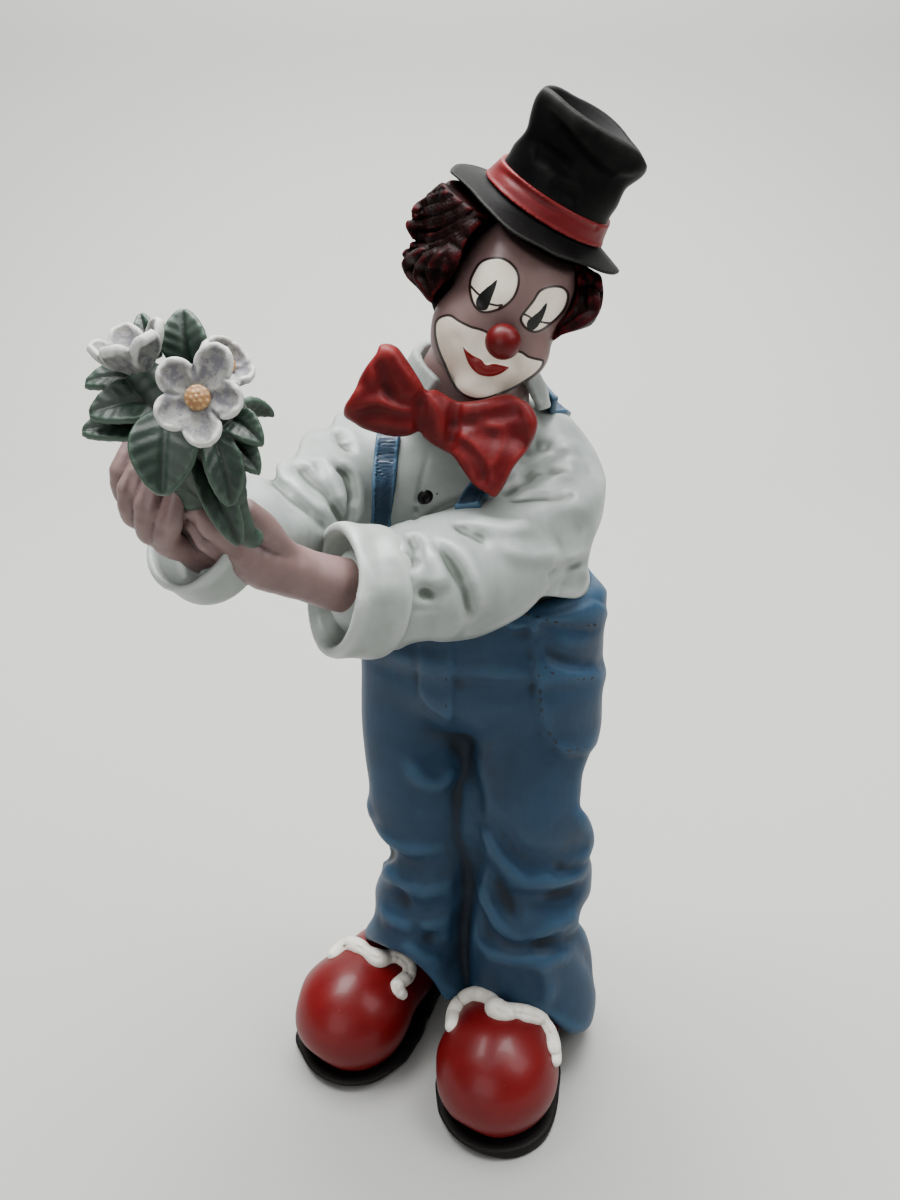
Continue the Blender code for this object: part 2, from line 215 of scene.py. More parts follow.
def boxed(across, upright, edge):
    """A rounded edge between two distances at right angles."""
    across, upright = across + edge, upright + edge
    outside = np.hypot(np.maximum(across, 0), np.maximum(upright, 0))
    return np.minimum(np.maximum(across, upright), 0) + outside - edge


class Clay:
    """A block of modelling clay: distances from the surface on a fine grid, below zero inside the form."""

    FAR = 9.0

    def __init__(self, low, high, grain):
        self.low = np.array(low, float)
        self.grain = grain
        self.count = np.ceil((np.array(high) - self.low) / grain).astype(int) + 1
        self.field = np.full(self.count, self.FAR, np.float32)

    def near(self, low, high):
        """The part of the block between two corners, with its x, y and z."""
        first = np.floor((np.asarray(low, float) - self.low) / self.grain).astype(int)
        last = np.ceil((np.asarray(high, float) - self.low) / self.grain).astype(int) + 1
        first = np.clip(first, 0, self.count - 1)
        last = np.clip(last, first + 1, self.count)
        spans = [np.arange(a, b, dtype=np.float32) * np.float32(self.grain) + np.float32(start)
                 for a, b, start in zip(first, last, self.low)]
        return tuple(slice(a, b) for a, b in zip(first, last)), np.ix_(*spans)

    def add(self, part, solid, melt, dig=False):
        """Joins a solid to the clay, or digs it out."""
        here = self.field[part]
        self.field[part] = -melted(-here, solid, melt) if dig else melted(here, solid, melt)

    def ball(self, at, size, axis=(0, 0, 1), side=(1, 0, 0), melt=1.5, dig=False):
        """An egg with its half-lengths along the side, across it and along the axis."""
        edge = max(size) + melt + 3.0
        part, place = self.near(np.subtract(at, edge), np.add(at, edge))
        local = [sum(way[i] * (place[i] - at[i]) for i in range(3)) for way in turned(axis, side)]
        near = np.sqrt(sum((c / s) ** 2 for c, s in zip(local, size)))
        slope = np.sqrt(sum((c / s ** 2) ** 2 for c, s in zip(local, size)))
        self.add(part, near * (near - 1) / np.maximum(slope, 1e-6), melt, dig)

    def segments(self, rows, edge):
        """Each stretch of a curve with the clay near it: its place in the curve's own part, gap and share."""
        part, _ = self.near(rows[:, :3].min(0) - edge, rows[:, :3].max(0) + edge)
        for index, (start, end) in enumerate(zip(rows, rows[1:])):
            near, place = self.near(np.minimum(start, end)[:3] - edge, np.maximum(start, end)[:3] + edge)
            inner = tuple(slice(n.start - p.start, n.stop - p.start) for n, p in zip(near, part))
            reach = end[:3] - start[:3]
            away = [place[i] - start[i] for i in range(3)]
            share = np.clip(sum(away[i] * reach[i] for i in range(3)) / max(reach @ reach, 1e-9), 0, 1)
            off = [away[i] - share * reach[i] for i in range(3)]
            yield index, inner, off, share

    def roll(self, rows, melt=1.5, step=3.0, dig=False, strands=None):
        """A roll of clay through rows of x, y, z and radius; strands groove it along its length."""
        rows = smooth_rows(rows, step)
        edge = rows[:, 3].max() + melt + 2.5
        part, _ = self.near(rows[:, :3].min(0) - edge, rows[:, :3].max(0) + edge)
        solid = np.full(self.field[part].shape, self.FAR, np.float32)
        middle = rows[len(rows) // 2, :3]
        bend = np.cross(middle - rows[0, :3], rows[-1, :3] - middle) + 1e-4
        run = 0.0
        for index, inner, off, share in self.segments(rows, edge):
            start, end = rows[index], rows[index + 1]
            gap = np.sqrt(sum(c * c for c in off)) - (start[3] + (end[3] - start[3]) * share)
            length = np.linalg.norm(end[:3] - start[:3])
            if strands:
                count, depth, twist = strands
                ahead = (end[:3] - start[:3]) / length
                first = unit(bend - ahead * (bend @ ahead))
                second = np.cross(ahead, first)
                angle = np.arctan2(sum(second[i] * off[i] for i in range(3)),
                                   sum(first[i] * off[i] for i in range(3)))
                turn = angle * count / 2 + twist * (run + share * length)
                gap = gap + depth * (1 - np.abs(np.sin(turn)) - 0.35 * np.sin(turn * 0.5 + 1.0))
            solid[inner] = np.minimum(solid[inner], gap)
            run += length
        self.add(part, solid, melt, dig)

    def groove(self, line, width, depth, taper=0.3):
        """A soft furrow along a line on the surface; a depth below zero raises a ridge."""
        rows = smooth_rows([(*point[:3], 0.0) for point in line], max(1.0, width))
        edge = width * 2.4
        part, _ = self.near(rows[:, :3].min(0) - edge, rows[:, :3].max(0) + edge)
        cut = np.zeros(self.field[part].shape, np.float32)
        run = np.concatenate([[0.0], np.cumsum(np.linalg.norm(np.diff(rows[:, :3], axis=0), axis=1))])
        run /= run[-1]
        for index, inner, off, share in self.segments(rows, edge):
            spot = run[index] + (run[index + 1] - run[index]) * share
            fade = np.clip(np.minimum(spot, 1 - spot) / taper, 0, 1) if taper else 1.0
            shape = np.exp(-sum(c * c for c in off) / width ** 2) * (fade * (2 - fade) if taper else 1.0)
            cut[inner] = np.maximum(cut[inner], shape)
        self.field[part] += np.float32(depth) * cut

    def slab(self, rows, low, high, edge, melt=0.5):
        """A flat plate between two heights, outlined by circles of x, y and radius."""
        rows = np.array(rows, float)
        wide = rows[:, 2].max() + 3
        corner = rows[:, :2].min(0) - wide
        other = rows[:, :2].max(0) + wide
        part, (x, y, z) = self.near((*corner, low - 4), (*other, high + 4))
        flat = self.FAR
        for (ax, ay, ar), (bx, by, br) in zip(rows, rows[1:]):
            ex, ey = bx - ax, by - ay
            share = np.clip(((x - ax) * ex + (y - ay) * ey) / (ex * ex + ey * ey), 0, 1)
            gap = np.hypot(x - ax - share * ex, y - ay - share * ey) - (ar + (br - ar) * share)
            flat = np.minimum(flat, gap)
        self.add(part, boxed(flat, np.abs(z - (low + high) / 2) - (high - low) / 2, edge), melt)

    def turning(self, at, axis, side, profile, squash=1.0, melt=1.0, dig=False, soften=2.0):
        """A form turned about an axis from a profile of radius and height."""
        curve = smooth_rows(profile, soften, span=2)
        outline = np.vstack([curve, curve[::-1] * (-1, 1)])
        edge = np.abs(curve).max() + melt + 3.0
        part, place = self.near(np.subtract(at, edge), np.add(at, edge))
        ways = turned(axis, side)
        local = [sum(way[i] * (place[i] - at[i]) for i in range(3)) for way in ways]
        radius = np.hypot(local[0], local[1] / squash)
        self.add(part, outline_distance(outline, radius, local[2]), melt, dig)

    def trim(self, outline, low, high, soft):
        """Pares away what the photograph would show outside an outline of pixels, between two corners."""
        part, place = self.near(low, high)
        self.field[part] = -melted(-self.field[part], -outside_outline(outline, place), soft)

    def pare(self, at, outward, melt=0.6):
        """Cuts off what lies beyond a plane."""
        part, place = self.near(self.low, self.low + self.count * self.grain)
        beyond = sum(unit(outward)[i] * (place[i] - at[i]) for i in range(3))
        self.field[part] = -melted(-self.field[part], -beyond, melt)

    def relief(self, outline, low, high, height, soft):
        """Raises what the photograph shows inside an outline of pixels, between two corners of the block."""
        part, place = self.near(low, high)
        rise = np.clip(0.5 - outside_outline(outline, place) / soft, 0, 1)
        self.field[part] -= np.float32(height) * rise * rise * (3 - 2 * rise)

    def seen(self, *pixels):
        """The points of the clay that the photograph shows at these pixels."""
        walk = np.arange(120.0, 460.0, self.grain / 3)
        spots = []
        for across, down in pixels:
            right, high = (across - PHOTO_MIDDLE[0]) / FOCUS, (PHOTO_MIDDLE[1] - down) / FOCUS
            sight = unit((right, COS + high * SIN, high * COS - SIN))
            path = EYE + walk[:, None] * sight
            index = np.rint((path - self.low) / self.grain).astype(int)
            inside = ((index >= 0) & (index < self.count)).all(1)
            depth = np.full(len(walk), self.FAR)
            depth[inside] = self.field[tuple(index[inside].T)]
            hits = np.nonzero(depth < 0)[0]
            spots.append(path[hits[0] if len(hits) else depth.argmin()])
        return spots

    def gap(self, point):
        """How far a point lies from the clay."""
        cell = np.rint((point - self.low) / self.grain).astype(int)
        if (cell < 0).any() or (cell >= self.count).any():
            return self.FAR
        return float(self.field[tuple(cell)])

    def settle(self, point, reach=5.0):
        """The nearest point on the surface of the clay."""
        for _ in range(6):
            point = point - self.outward([point], reach)[0] * self.gap(point) * 0.8
        return point

    def outward(self, points, reach=3.0):
        """For each point, the direction in which the clay ends soonest."""
        ways = []
        for point in points:
            slope = []
            for i in range(3):
                step = np.eye(3)[i] * reach
                ends = [np.rint((point + way - self.low) / self.grain).astype(int) for way in (step, -step)]
                ends = [tuple(np.clip(end, 0, self.count - 1)) for end in ends]
                slope.append(float(self.field[ends[0]] - self.field[ends[1]]))
            ways.append(unit(slope))
        return ways

    def traced(self, pixels, step=6.0):
        """The points of the clay along a smooth line of pixels."""
        return self.seen(*smooth_rows(pixels, step, span=2))

    def folds(self, creases, width, depth):
        """Furrows along lines of pixels of the photograph."""
        for pixels in creases:
            self.groove(self.traced(pixels, 12.0), width, depth)

    def skin(self):
        """The clay's surface as points in millimetres and four-sided faces."""
        grid = openvdb.FloatGrid(background=self.FAR)
        grid.copyFromArray(np.ascontiguousarray(self.field))
        points, _, faces = grid.convertToPolygons(isovalue=0.0, adaptivity=0.0)
        points = np.asarray(points, float) * self.grain + self.low
        faces = np.asarray(faces)
        a, b, c = (points[faces[:, i]] for i in range(3))
        if np.einsum("ij,ij->i", a, np.cross(b, c)).sum() < 0:
            faces = faces[:, ::-1]
        return points, faces


def neighbours_mean(values, edges, count):
    """For each point, the mean of its neighbours' values."""
    share = 1.0 / np.maximum(np.bincount(edges.ravel(), minlength=count), 1)
    columns = []
    for column in values.T:
        total = np.bincount(edges[:, 0], column[edges[:, 1]], count)
        total += np.bincount(edges[:, 1], column[edges[:, 0]], count)
        columns.append(total * share)
    return np.array(columns).T


THINNED = 0.66
THIN_ABOVE = 8000


def make_piece(name, points, faces, finish, node, slot, rounds=12, marks=None):
    """A mesh piece riding on the figurine, with the depth of its hollows in millimetres for the paint."""
    mesh = bpy.data.meshes.new(name)
    mesh.from_pydata(metres(points), [], faces)
    mesh.shade_smooth()
    count = len(mesh.vertices)
    edges = np.empty(len(mesh.edges) * 2, np.int32)
    mesh.edges.foreach_get("vertices", edges)
    edges = edges.reshape(-1, 2)
    normals = np.empty(count * 3, np.float32)
    mesh.vertices.foreach_get("normal", normals)
    normals = normals.reshape(-1, 3)
    points = np.asarray(points, float)
    smooth = points
    for _ in range(rounds):
        smooth = neighbours_mean(smooth, edges, count)
    # How deep each point lies in a hollow; the paint darkens hollows partly as wash and partly as painted
    # shade, and lightens ridges partly as wear and partly as painted highlight.
    hollow = ((smooth - points) * normals).sum(1)[:, None]
    for _ in range(2):
        hollow = neighbours_mean(hollow, edges, count)
    layers = {"hollow": hollow[:, 0]}
    if marks:
        layers.update(marks(points, normals))
    for layer, values in layers.items():
        kept = mesh.attributes.new(layer, "FLOAT", "POINT")
        kept.data.foreach_set("value", np.ascontiguousarray(values, np.float32))
    mesh.materials.append(finish)
    piece = bpy.data.objects.new(name, mesh)
    bpy.context.scene.collection.objects.link(piece)
    if len(mesh.polygons) > THIN_ABOVE:
        piece.modifiers.new("thinned", "DECIMATE").ratio = THINNED
        scene_now = bpy.context.evaluated_depsgraph_get()
        piece.data = bpy.data.meshes.new_from_object(piece.evaluated_get(scene_now))
        piece.modifiers.clear()
        piece.data.name = name
        piece.data.shade_smooth()
    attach(piece, "root")
    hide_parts(node)
    return piece


class Wire:
    """A node's output, so that shader maths reads as Python: each operator adds a Math node."""

    def __init__(self, tree, socket=None):
        self.tree = tree
        self.socket = socket

    def node(self, kind, settings=None, sockets=None, output=0):
        """A new node: first its settings, then the value or the link of each of its sockets."""
        made = self.tree.nodes.new("ShaderNode" + kind)
        for setting, value in (settings or {}).items():
            setattr(made, setting, value)
        for socket, value in (sockets or {}).items():
            if isinstance(value, Wire):
                self.tree.links.new(value.socket, made.inputs[socket])
            else:
                made.inputs[socket].default_value = value
        return Wire(self.tree, made.outputs[output])

    def maths(self, operation, *values):
        return self.node("Math", {"operation": operation}, dict(enumerate(values)))

    def __add__(self, other):
        return self.maths("ADD", self, other)

    def __sub__(self, other):
        return self.maths("SUBTRACT", self, other)

    def __rsub__(self, other):
        return self.maths("SUBTRACT", other, self)

    def __mul__(self, other):
        return self.maths("MULTIPLY", self, other)

    __radd__ = __add__
    __rmul__ = __mul__

    def band(self, low, high):
        """0 below low, 1 above high and a smooth rise between."""
        return self.node("MapRange", {"interpolation_type": "SMOOTHSTEP"},
                         {"Value": self, "From Min": low, "From Max": high})

    def blend(self, under, over):
        """This mask lays one colour over another."""
        return self.node("Mix", {"data_type": "RGBA"}, {0: self, 6: under, 7: over}, 2)

    def spots(self, size, detail=3.0, rough=0.55, stretch=None):
        """Cloudy variation, with clouds about this many millimetres wide."""
        place = self.node("TexCoord", output=3)
        if stretch:
            place = self.node("VectorMath", {"operation": "MULTIPLY"}, {0: place, 1: stretch})
        return self.node("TexNoise", None, {"Vector": place, "Scale": 500.0 / size,
                                            "Detail": detail, "Roughness": rough})

    def layer(self, name):
        """A number kept on the mesh."""
        return self.node("Attribute", {"attribute_name": name}, None, 2)


def tone(red, green, blue):
    """A paint colour, from the 0 to 255 of a colour chart."""
    linear = [((c / 255 + 0.055) / 1.055) ** 2.4 if c > 10 else c / 255 / 12.92 for c in (red, green, blue)]
    return (*linear, 1.0)


def between(first, second, share):
    """A colour part of the way from one to another."""
    return tuple(a + (b - a) * share for a, b in zip(first, second))


def brushed_paint(name, body, wash_and_shade_colour, rub_and_highlight_colour, shine, wash_and_shade_range=(0.03, 0.25), rub_and_highlight_range=(0.04, 0.25), rub_and_highlight_strength=0.6,
                  coat=0.0, grit=0.12, patches=5.0, gloss=0.5, extras=None):
    """Paint brushed by hand on cast resin: uneven coats, hollows darkened partly by a dark wash and partly as
    painted shade, ridges lighter partly from rubbing and partly as painted highlight.
    """
    material = bpy.data.materials.new(name)
    material.use_nodes = True
    start = Wire(material.node_tree)
    shader = material.node_tree.nodes["Principled BSDF"]
    hollow = start.layer("hollow")
    patchy = start.spots(patches, 4.0, 0.6)
    grain = start.spots(0.7, 4.0, 0.65)
    bristles = start.spots(0.9, 2.0, 0.5, (1.0, 1.0, 0.16))
    colour = patchy.band(0.3, 0.7).blend(between(body, wash_and_shade_colour, 0.22), between(body, rub_and_highlight_colour, 0.12))
    colour = (bristles.band(0.35, 0.75) * 0.35).blend(colour, between(body, wash_and_shade_colour, 0.12))
    # Hollows take the dark colour, partly as a wash and partly as painted shade; ridges take the light
    # colour, partly as rubbed wear and partly as painted highlight.
    wash_and_shade_mask = (hollow + (patchy - 0.5) * 0.1 + (grain - 0.5) * 0.08).band(*wash_and_shade_range)
    rub_and_highlight_mask = ((0.0 - hollow) + (grain - 0.5) * 0.16 + (patchy - 0.5) * 0.1).band(*rub_and_highlight_range)
    colour = (wash_and_shade_mask * 0.85).blend(colour, wash_and_shade_colour)
    colour = (rub_and_highlight_mask * rub_and_highlight_strength).blend(colour, rub_and_highlight_colour)
    rough = wash_and_shade_mask * 0.12 + patchy * 0.1 + (shine - 0.05)
    if extras:
        colour, rough = extras(start, colour, rough)
    relief = grain * 0.6 + patchy * 0.4 + bristles * 0.35
    bump = start.node("Bump", None, {"Strength": grit, "Distance": 0.0006, "Height": relief})
    for socket, wire in (("Base Color", colour), ("Roughness", rough), ("Normal", bump)):
        material.node_tree.links.new(wire.socket, shader.inputs[socket])
    shader.inputs["Specular IOR Level"].default_value = gloss
    shader.inputs["Coat Weight"].default_value = coat
    shader.inputs["Coat Roughness"].default_value = 0.12
    return material


SOLE_TOP = 4.4
SOLE_OUTLINE = [
    (293, 1020), (302, 1055), (314.5, 1073), (335, 1084), (357, 1086), (378, 1081), (404, 1063),
    (421, 1046), (435, 1027), (434, 1062), (437, 1104), (441, 1118), (453, 1136), (474, 1150.6),
    (498, 1158), (521, 1158), (541, 1146.5), (553, 1124), (560, 1097.5), (574, 1046), (610, 990),
    (560, 920), (300, 900)]
TOES = ((16, -34), (-36, -8))
HEELS = ((30, 12), (-11, 31))
SOLE_RADII = ((0.0, 22.2), (0.25, 20.6), (0.5, 17.6), (0.75, 15.1), (1.0, 14.2))
sole_black = brushed_paint("sole black", tone(7, 6, 6), tone(3, 3, 3), tone(36, 33, 32), 0.5,
                           rub_and_highlight_range=(0.05, 0.3), rub_and_highlight_strength=0.4, grit=0.3, gloss=0.08)
sole_clay = Clay((-62, -58, -3), (48, 49, 8), 0.75)
for toe, heel in zip(TOES, HEELS):
    rows = [(*(np.add(toe, np.subtract(heel, toe) * share)), radius) for share, radius in SOLE_RADII]
    sole_clay.slab(rows, 0.0, SOLE_TOP, 0.7)
sole_clay.trim(SOLE_OUTLINE, (-62, -58, -3), (48, 49, 8), 0.6)
make_piece("shoe_soles", *sole_clay.skin(), sole_black, "clown_figure", "painted_resin")


# The shoes are bulbous clown boots cast with the figure, in a deep red enamel with a soft gloss.
# A round toe swells in front of the lower instep, and the uppers stand just inside the soles.
shoe_red = brushed_paint("shoe red", tone(88, 5, 8), tone(42, 3, 5), tone(118, 17, 19), 0.38,
                         wash_and_shade_range=(0.05, 0.5), rub_and_highlight_range=(0.1, 0.5), rub_and_highlight_strength=0.3, coat=0.06, grit=0.05,
                         patches=9.0, gloss=0.25)
SHOE_OUTLINE = [
    (295, 1016), (306, 973), (320, 945), (360, 915), (520, 915), (600, 990), (574, 1036), (565.5, 1055),
    (557, 1093), (553, 1110), (535, 1134), (512, 1143.5), (486, 1136), (459, 1122), (441, 1110),
    (437, 1089), (436, 1063), (437, 1024), (433, 1022), (412, 1046), (388, 1067), (357, 1072), (331, 1065),
    (302, 1042)]
TOE_DENTS = (
    ((345, 1012), (352, 1030), (345, 1048)),
    ((455, 1040), (500, 1052), (540, 1046)),
)
shoe_clay = Clay((-62, -58, -1), (50, 50, 46), 0.8)
for toe, heel in zip(TOES, HEELS):
    middle = np.add(toe, heel) / 2
    shoe_clay.ball((*toe, 17.0), (21.3, 21.3, 19.4), melt=3.0)
    shoe_clay.roll([(*toe, 17, 19), (*middle, 18, 17.4), (*heel, 14, 13.8)], melt=4.0)
shoe_clay.pare((0, 0, SOLE_TOP - 0.6), (0, 0, -1), 0.8)
shoe_clay.trim(SHOE_OUTLINE, (-62, -58, -1), (50, 50, 42), 0.8)
shoe_clay.folds(TOE_DENTS, 5.0, 0.25)
make_piece("shoes", *shoe_clay.skin(), shoe_red, "clown_figure", "painted_resin", rounds=30)


# The trousers are baggy blue work trousers, cast with the shirt tucked in and painted a matt denim blue.
# The hips turn to the figure's right, the knees wrinkle, and the hems bunch over the shoes.
denim = brushed_paint("denim blue", tone(20, 48, 72), tone(5, 13, 22), tone(46, 80, 106), 0.52,
                      wash_and_shade_range=(0.10, 0.9), rub_and_highlight_range=(0.15, 0.8), rub_and_highlight_strength=0.5, grit=0.22, patches=7.0, gloss=0.3)
HIPS_SIDE = (0.90, -0.42, 0.0)
trouser_clay = Clay((-46, -48, 3), (64, 46, 192), 0.95)
trouser_clay.ball((10, 4, 158), (41, 29, 28), side=HIPS_SIDE, melt=3.0)
LEG_ROWS = (
    [(26, -3, 156, 22), (26.5, -5, 128, 23), (25.5, -5, 104, 23.5), (27.5, -4, 84, 23), (27, -3, 60, 23),
     (29.5, -1, 38, 24), (31, -4, 13, 24.5)],
    [(-8, 7, 156, 21.5), (-9, 8, 128, 22.5), (-8, 8, 104, 22.5), (-5, 8, 78, 22), (-6, 10, 60, 22),
     (-9, 11, 42, 23), (-9, 9, 15, 23.5)],
)
for rows in LEG_ROWS:
    trouser_clay.roll(rows, melt=3.0, step=5.0)
INSIDE_LEGS = [(7, 4, 140, 17), (8, 8, 110, 14), (10, 9, 70, 13), (10, 9, 42, 13), (11, 9, 26, 12)]
trouser_clay.roll(INSIDE_LEGS, melt=2.0)
BACK_ROLLS = (
    [(-24, 22, 92, 4), (-10, 29, 84, 4), (6, 24, 88, 4)],
    [(-26, 24, 62, 4), (-12, 31, 54, 4), (4, 27, 60, 4)],
    [(14, 16, 90, 4), (30, 18, 80, 4), (46, 8, 84, 4)],
    [(14, 17, 60, 4), (32, 20, 50, 4), (48, 10, 56, 4)],
    [(12, 18, 34, 4), (32, 22, 26, 4), (50, 12, 30, 4)],
    [(-28, 24, 34, 4), (-12, 33, 26, 4), (6, 27, 32, 4)],
)
for rows in BACK_ROLLS:
    trouser_clay.roll(rows, melt=6.0)
WAIST_AT = (9, 2, 173)
WAIST_AXIS = (0.05, 0.26, 1.0)
WAIST_PROFILE = (
    (0, -14), (34, -14), (37.6, -5), (38.8, 0), (39.0, 5.5), (37.5, 8), (35.5, 7), (34, 5), (0, 5))
WAISTBAND = [
    (18, -27, 185, 2.5), (30, -21, 186, 3.5), (40, -12, 184, 4.5), (46, -1, 182, 5), (48, 9, 182.5, 5),
    (43, 19, 184, 4.5), (31, 26, 184.5, 4), (16, 28, 184, 3.5), (2, 25, 183, 3)]
trouser_clay.turning(WAIST_AT, WAIST_AXIS, HIPS_SIDE, WAIST_PROFILE, squash=0.70, melt=4.0)
trouser_clay.roll(WAISTBAND, melt=3.0)
trouser_clay.ball((37, 15, 165), (9, 9, 14), melt=8.0)
trouser_clay.ball((22, 25, 162), (16, 4.5, 10), side=(0.98, -0.20, 0), melt=7.0)
trouser_clay.pare((0, 0, 5.0), (0, 0, -1))
TROUSER_OUTLINE = [
    (352, 600), (360, 653), (361.5, 716), (365, 755), (369, 783), (370, 806), (378, 824), (391, 854),
    (383, 862), (382, 870), (375.5, 887), (374, 915), (358, 937), (372, 941), (390, 949), (405, 955),
    (419, 966), (433, 981), (446, 1000), (458, 996), (476, 993), (492, 997), (514, 1008), (530, 1012),
    (545, 1014), (561, 1028), (574, 1034), (590, 1026), (597, 997), (593.6, 979), (591, 951), (585, 931),
    (577, 917), (590, 895), (592, 885), (592, 865), (588.5, 853), (591, 836), (586, 818.6), (579.6, 807),
    (581, 793), (583, 773), (591, 750), (597.4, 724), (598.7, 691), (602.5, 673), (598.7, 653), (604, 625),
    (607, 596), (604.6, 587), (589, 569), (560, 530), (400, 530)]
trouser_clay.trim(TROUSER_OUTLINE, (-46, -48, 3), (64, 46, 192), 2.0)

VALLEYS = (
    ((442, 719), (460, 726), (464, 750), (470, 785), (473, 820), (472, 870), (462, 930), (452, 984)),
    ((474, 846), (480, 862), (492, 880), (500, 900), (514, 916)),
    ((486, 820), (500, 838), (520, 858), (548, 862), (572, 852)),
    ((492, 886), (516, 900), (548, 902), (580, 890)),
    ((476, 914), (490, 936), (520, 946), (556, 944)),
    ((374, 838), (392, 858), (416, 868), (446, 866)),
    ((386, 892), (402, 906), (426, 912), (450, 908)),
)
DENTS = (
    ((556, 868), (567, 870), (577, 869)),
    ((545, 896), (561, 895), (577, 892)),
    ((495, 874), (503, 895), (515, 918)),
    ((482, 905), (482, 926), (486, 942)),
    ((574, 932), (584, 949), (592, 966)),
    ((401, 886), (401, 896), (406, 904)),
    ((424, 938), (434, 948), (446, 952)),
    ((413, 928), (424, 933), (436, 938)),
    ((532, 942), (554, 944), (574, 939)),
)
RIDGES = (
    ((408, 762), (421, 779), (439, 783), (452, 773), (461, 752)),
    ((470, 790), (482, 824), (493, 844), (513, 870), (526, 880), (554, 880), (580, 874), (590, 865)),
    ((475, 870), (483, 895), (495, 920), (508, 933), (528, 936), (554, 926), (580, 915)),
    ((478, 938), (493, 954), (528, 959), (569, 959)),
    ((529, 956), (544, 969), (549, 990), (544, 1007)),
    ((577, 808), (590, 834), (590, 844), (580, 857), (564, 861)),
    ((384, 868), (400, 884), (424, 890), (452, 886)),
    ((378, 906), (398, 922), (420, 926), (448, 922)),
    ((366, 800), (384, 834), (410, 848), (446, 846)),
    ((404, 940), (416, 952), (436, 962)),
)
trouser_clay.folds(VALLEYS[:1], 4.2, 3.6)
trouser_clay.folds(VALLEYS[1:], 4.6, 2.2)
trouser_clay.folds(DENTS, 3.2, 2.0)
trouser_clay.folds(RIDGES, 3.0, -1.9)
CROTCH_DENT = ((424, 742), (436, 746), (446, 742))
trouser_clay.folds((CROTCH_DENT,), 8.0, 3.0)
POCKET = [(534, 618), (532, 643), (534, 678), (537.5, 716.5), (546.4, 739.5), (562, 755), (574.5, 755),
          (592, 750), (612, 720), (612, 620), (580, 600)]
POCKET_MOUTH = ((532, 622), (534, 642), (544, 660), (562, 671), (578, 674), (602, 672))
FLY = [(420, 640), (418, 673), (418.4, 691), (424, 704), (439, 716.5), (452, 721), (453, 690), (452, 640)]
trouser_clay.relief(POCKET, (18, -34, 112), (62, 16, 186), 1.3, 1.2)
trouser_clay.relief(FLY, (-14, -40, 130), (20, -14, 182), 1.0, 1.0)
trouser_clay.folds(([(x + 5, y - 9) for x, y in POCKET_MOUTH[1:]],), 2.6, 1.9)
trouser_clay.folds((POCKET_MOUTH,), 1.3, -0.9)
WAIST_SEAM = ((505, 618), (526, 620), (553, 627), (571, 631), (600, 631))
trouser_clay.folds((WAIST_SEAM,), 1.0, 1.2)
POCKET_EDGE = (
    (532, 626), (532.4, 643), (533.7, 678), (537.5, 716.5), (546.4, 739.5), (562, 755), (575, 755),
    (592, 750))
trouser_clay.folds((POCKET_EDGE, tuple(FLY[:6])), 0.9, 0.8)
make_piece("trousers", *trouser_clay.skin(), denim, "clown_figure", "painted_resin", rounds=30)


# The laces are thick white ribbons, modelled in one with the shoes and painted cream white.
# Each is tied in a small knot under the hem, and its ends hang over the instep.
lace_white = brushed_paint("lace white", tone(216, 211, 200), tone(104, 96, 84), tone(236, 232, 224), 0.42,
                           wash_and_shade_range=(0.04, 0.22), rub_and_highlight_strength=0.5, grit=0.3, patches=3.0)
LACES = (
    ([(452, 1026), (455, 1012), (464, 1000), (478, 995), (490, 999), (496, 1007)], 3.0),
    ([(494, 1007), (500, 1012), (508, 1013)], 3.6),
    ([(508, 1010), (520, 1013), (532, 1016), (541, 1018)], 3.0),
    ([(540, 1018), (548, 1030), (552, 1044), (555, 1060)], 2.7),
    ([(334, 955), (341, 949), (350, 945), (360, 948), (370, 955)], 3.0),
    ([(371, 955), (378, 959), (386, 958)], 3.3),
    ([(385, 958), (397, 956), (408, 965), (407, 976), (398, 984)], 2.8),
    ([(398, 983), (397, 989), (402, 994)], 2.5),
)


def seen_on(clays, pixels):
    """The points of several clays that the photograph shows at these pixels, or passes nearest to."""
    found = []
    for pixel in pixels:
        spots = [(clay.gap(spot), spot) for clay in clays for spot in clay.seen(pixel)]
        hits = [(np.linalg.norm(spot - EYE), spot) for gap, spot in spots if gap < 0.5]
        found.append(min(hits or spots, key=lambda pair: pair[0])[1])
    return found


lace_clay = Clay((-60, -58, 4), (50, 8, 60), 0.4)
for pixels, radius in LACES:
    points = smooth_rows(seen_on((shoe_clay, trouser_clay), smooth_rows(pixels, 5.0, span=2)), 1.5, span=2)
    widths = [radius * 1.1 * (0.72 + 0.28 * math.sin(math.pi * (i + 0.8) / (len(points) + 0.2)))
              for i in range(len(points))]
    lace_clay.roll([(*point, width) for point, width in zip(points, widths)], melt=0.8, step=1.5)
    crest = [point + (0, -width * 0.7, width * 0.7) for point, width in zip(points, widths)]
    lace_clay.groove(crest, 0.6, 0.45)
make_piece("laces", *lace_clay.skin(), lace_white, "clown_figure", "painted_resin", rounds=8)


# The stitching is fine dark thread, drawn on the casting as short raised dashes beside the seams.
# It doubles the edge of the hip pocket and runs under the waistband and down the fly.
thread = brushed_paint("thread blue", tone(9, 20, 32), tone(4, 10, 18), tone(26, 44, 64), 0.6, grit=0.2)
STITCH_LONG, STITCH_GAP, STITCH_RADIUS = 1.9, 1.3, 0.42
SEAMS = (
    [(538, 660), (539, 678), (542.5, 715), (551, 736), (564, 749.5), (574, 749.5), (590, 744.5)],
    [(541, 664), (558, 676), (578, 679), (598, 677)],
    [(446, 655), (446, 684), (446, 714)],
    [(505, 613), (526, 614.5), (552, 621), (571, 625), (598, 625)],
)


def stitch(mesh, start, end, radius):
    """One stitch: a small capsule from start to end."""
    ahead = Vector(end) - Vector(start)
    turn = ahead.to_track_quat("Z", "Y").to_matrix().to_4x4()
    place = Matrix.Translation((Vector(start) + Vector(end)) / 2) @ turn
    place = place @ Matrix.Diagonal((radius, radius, ahead.length / 2, 1.0))
    bmesh.ops.create_uvsphere(mesh, u_segments=8, v_segments=6, radius=1.0, matrix=place)


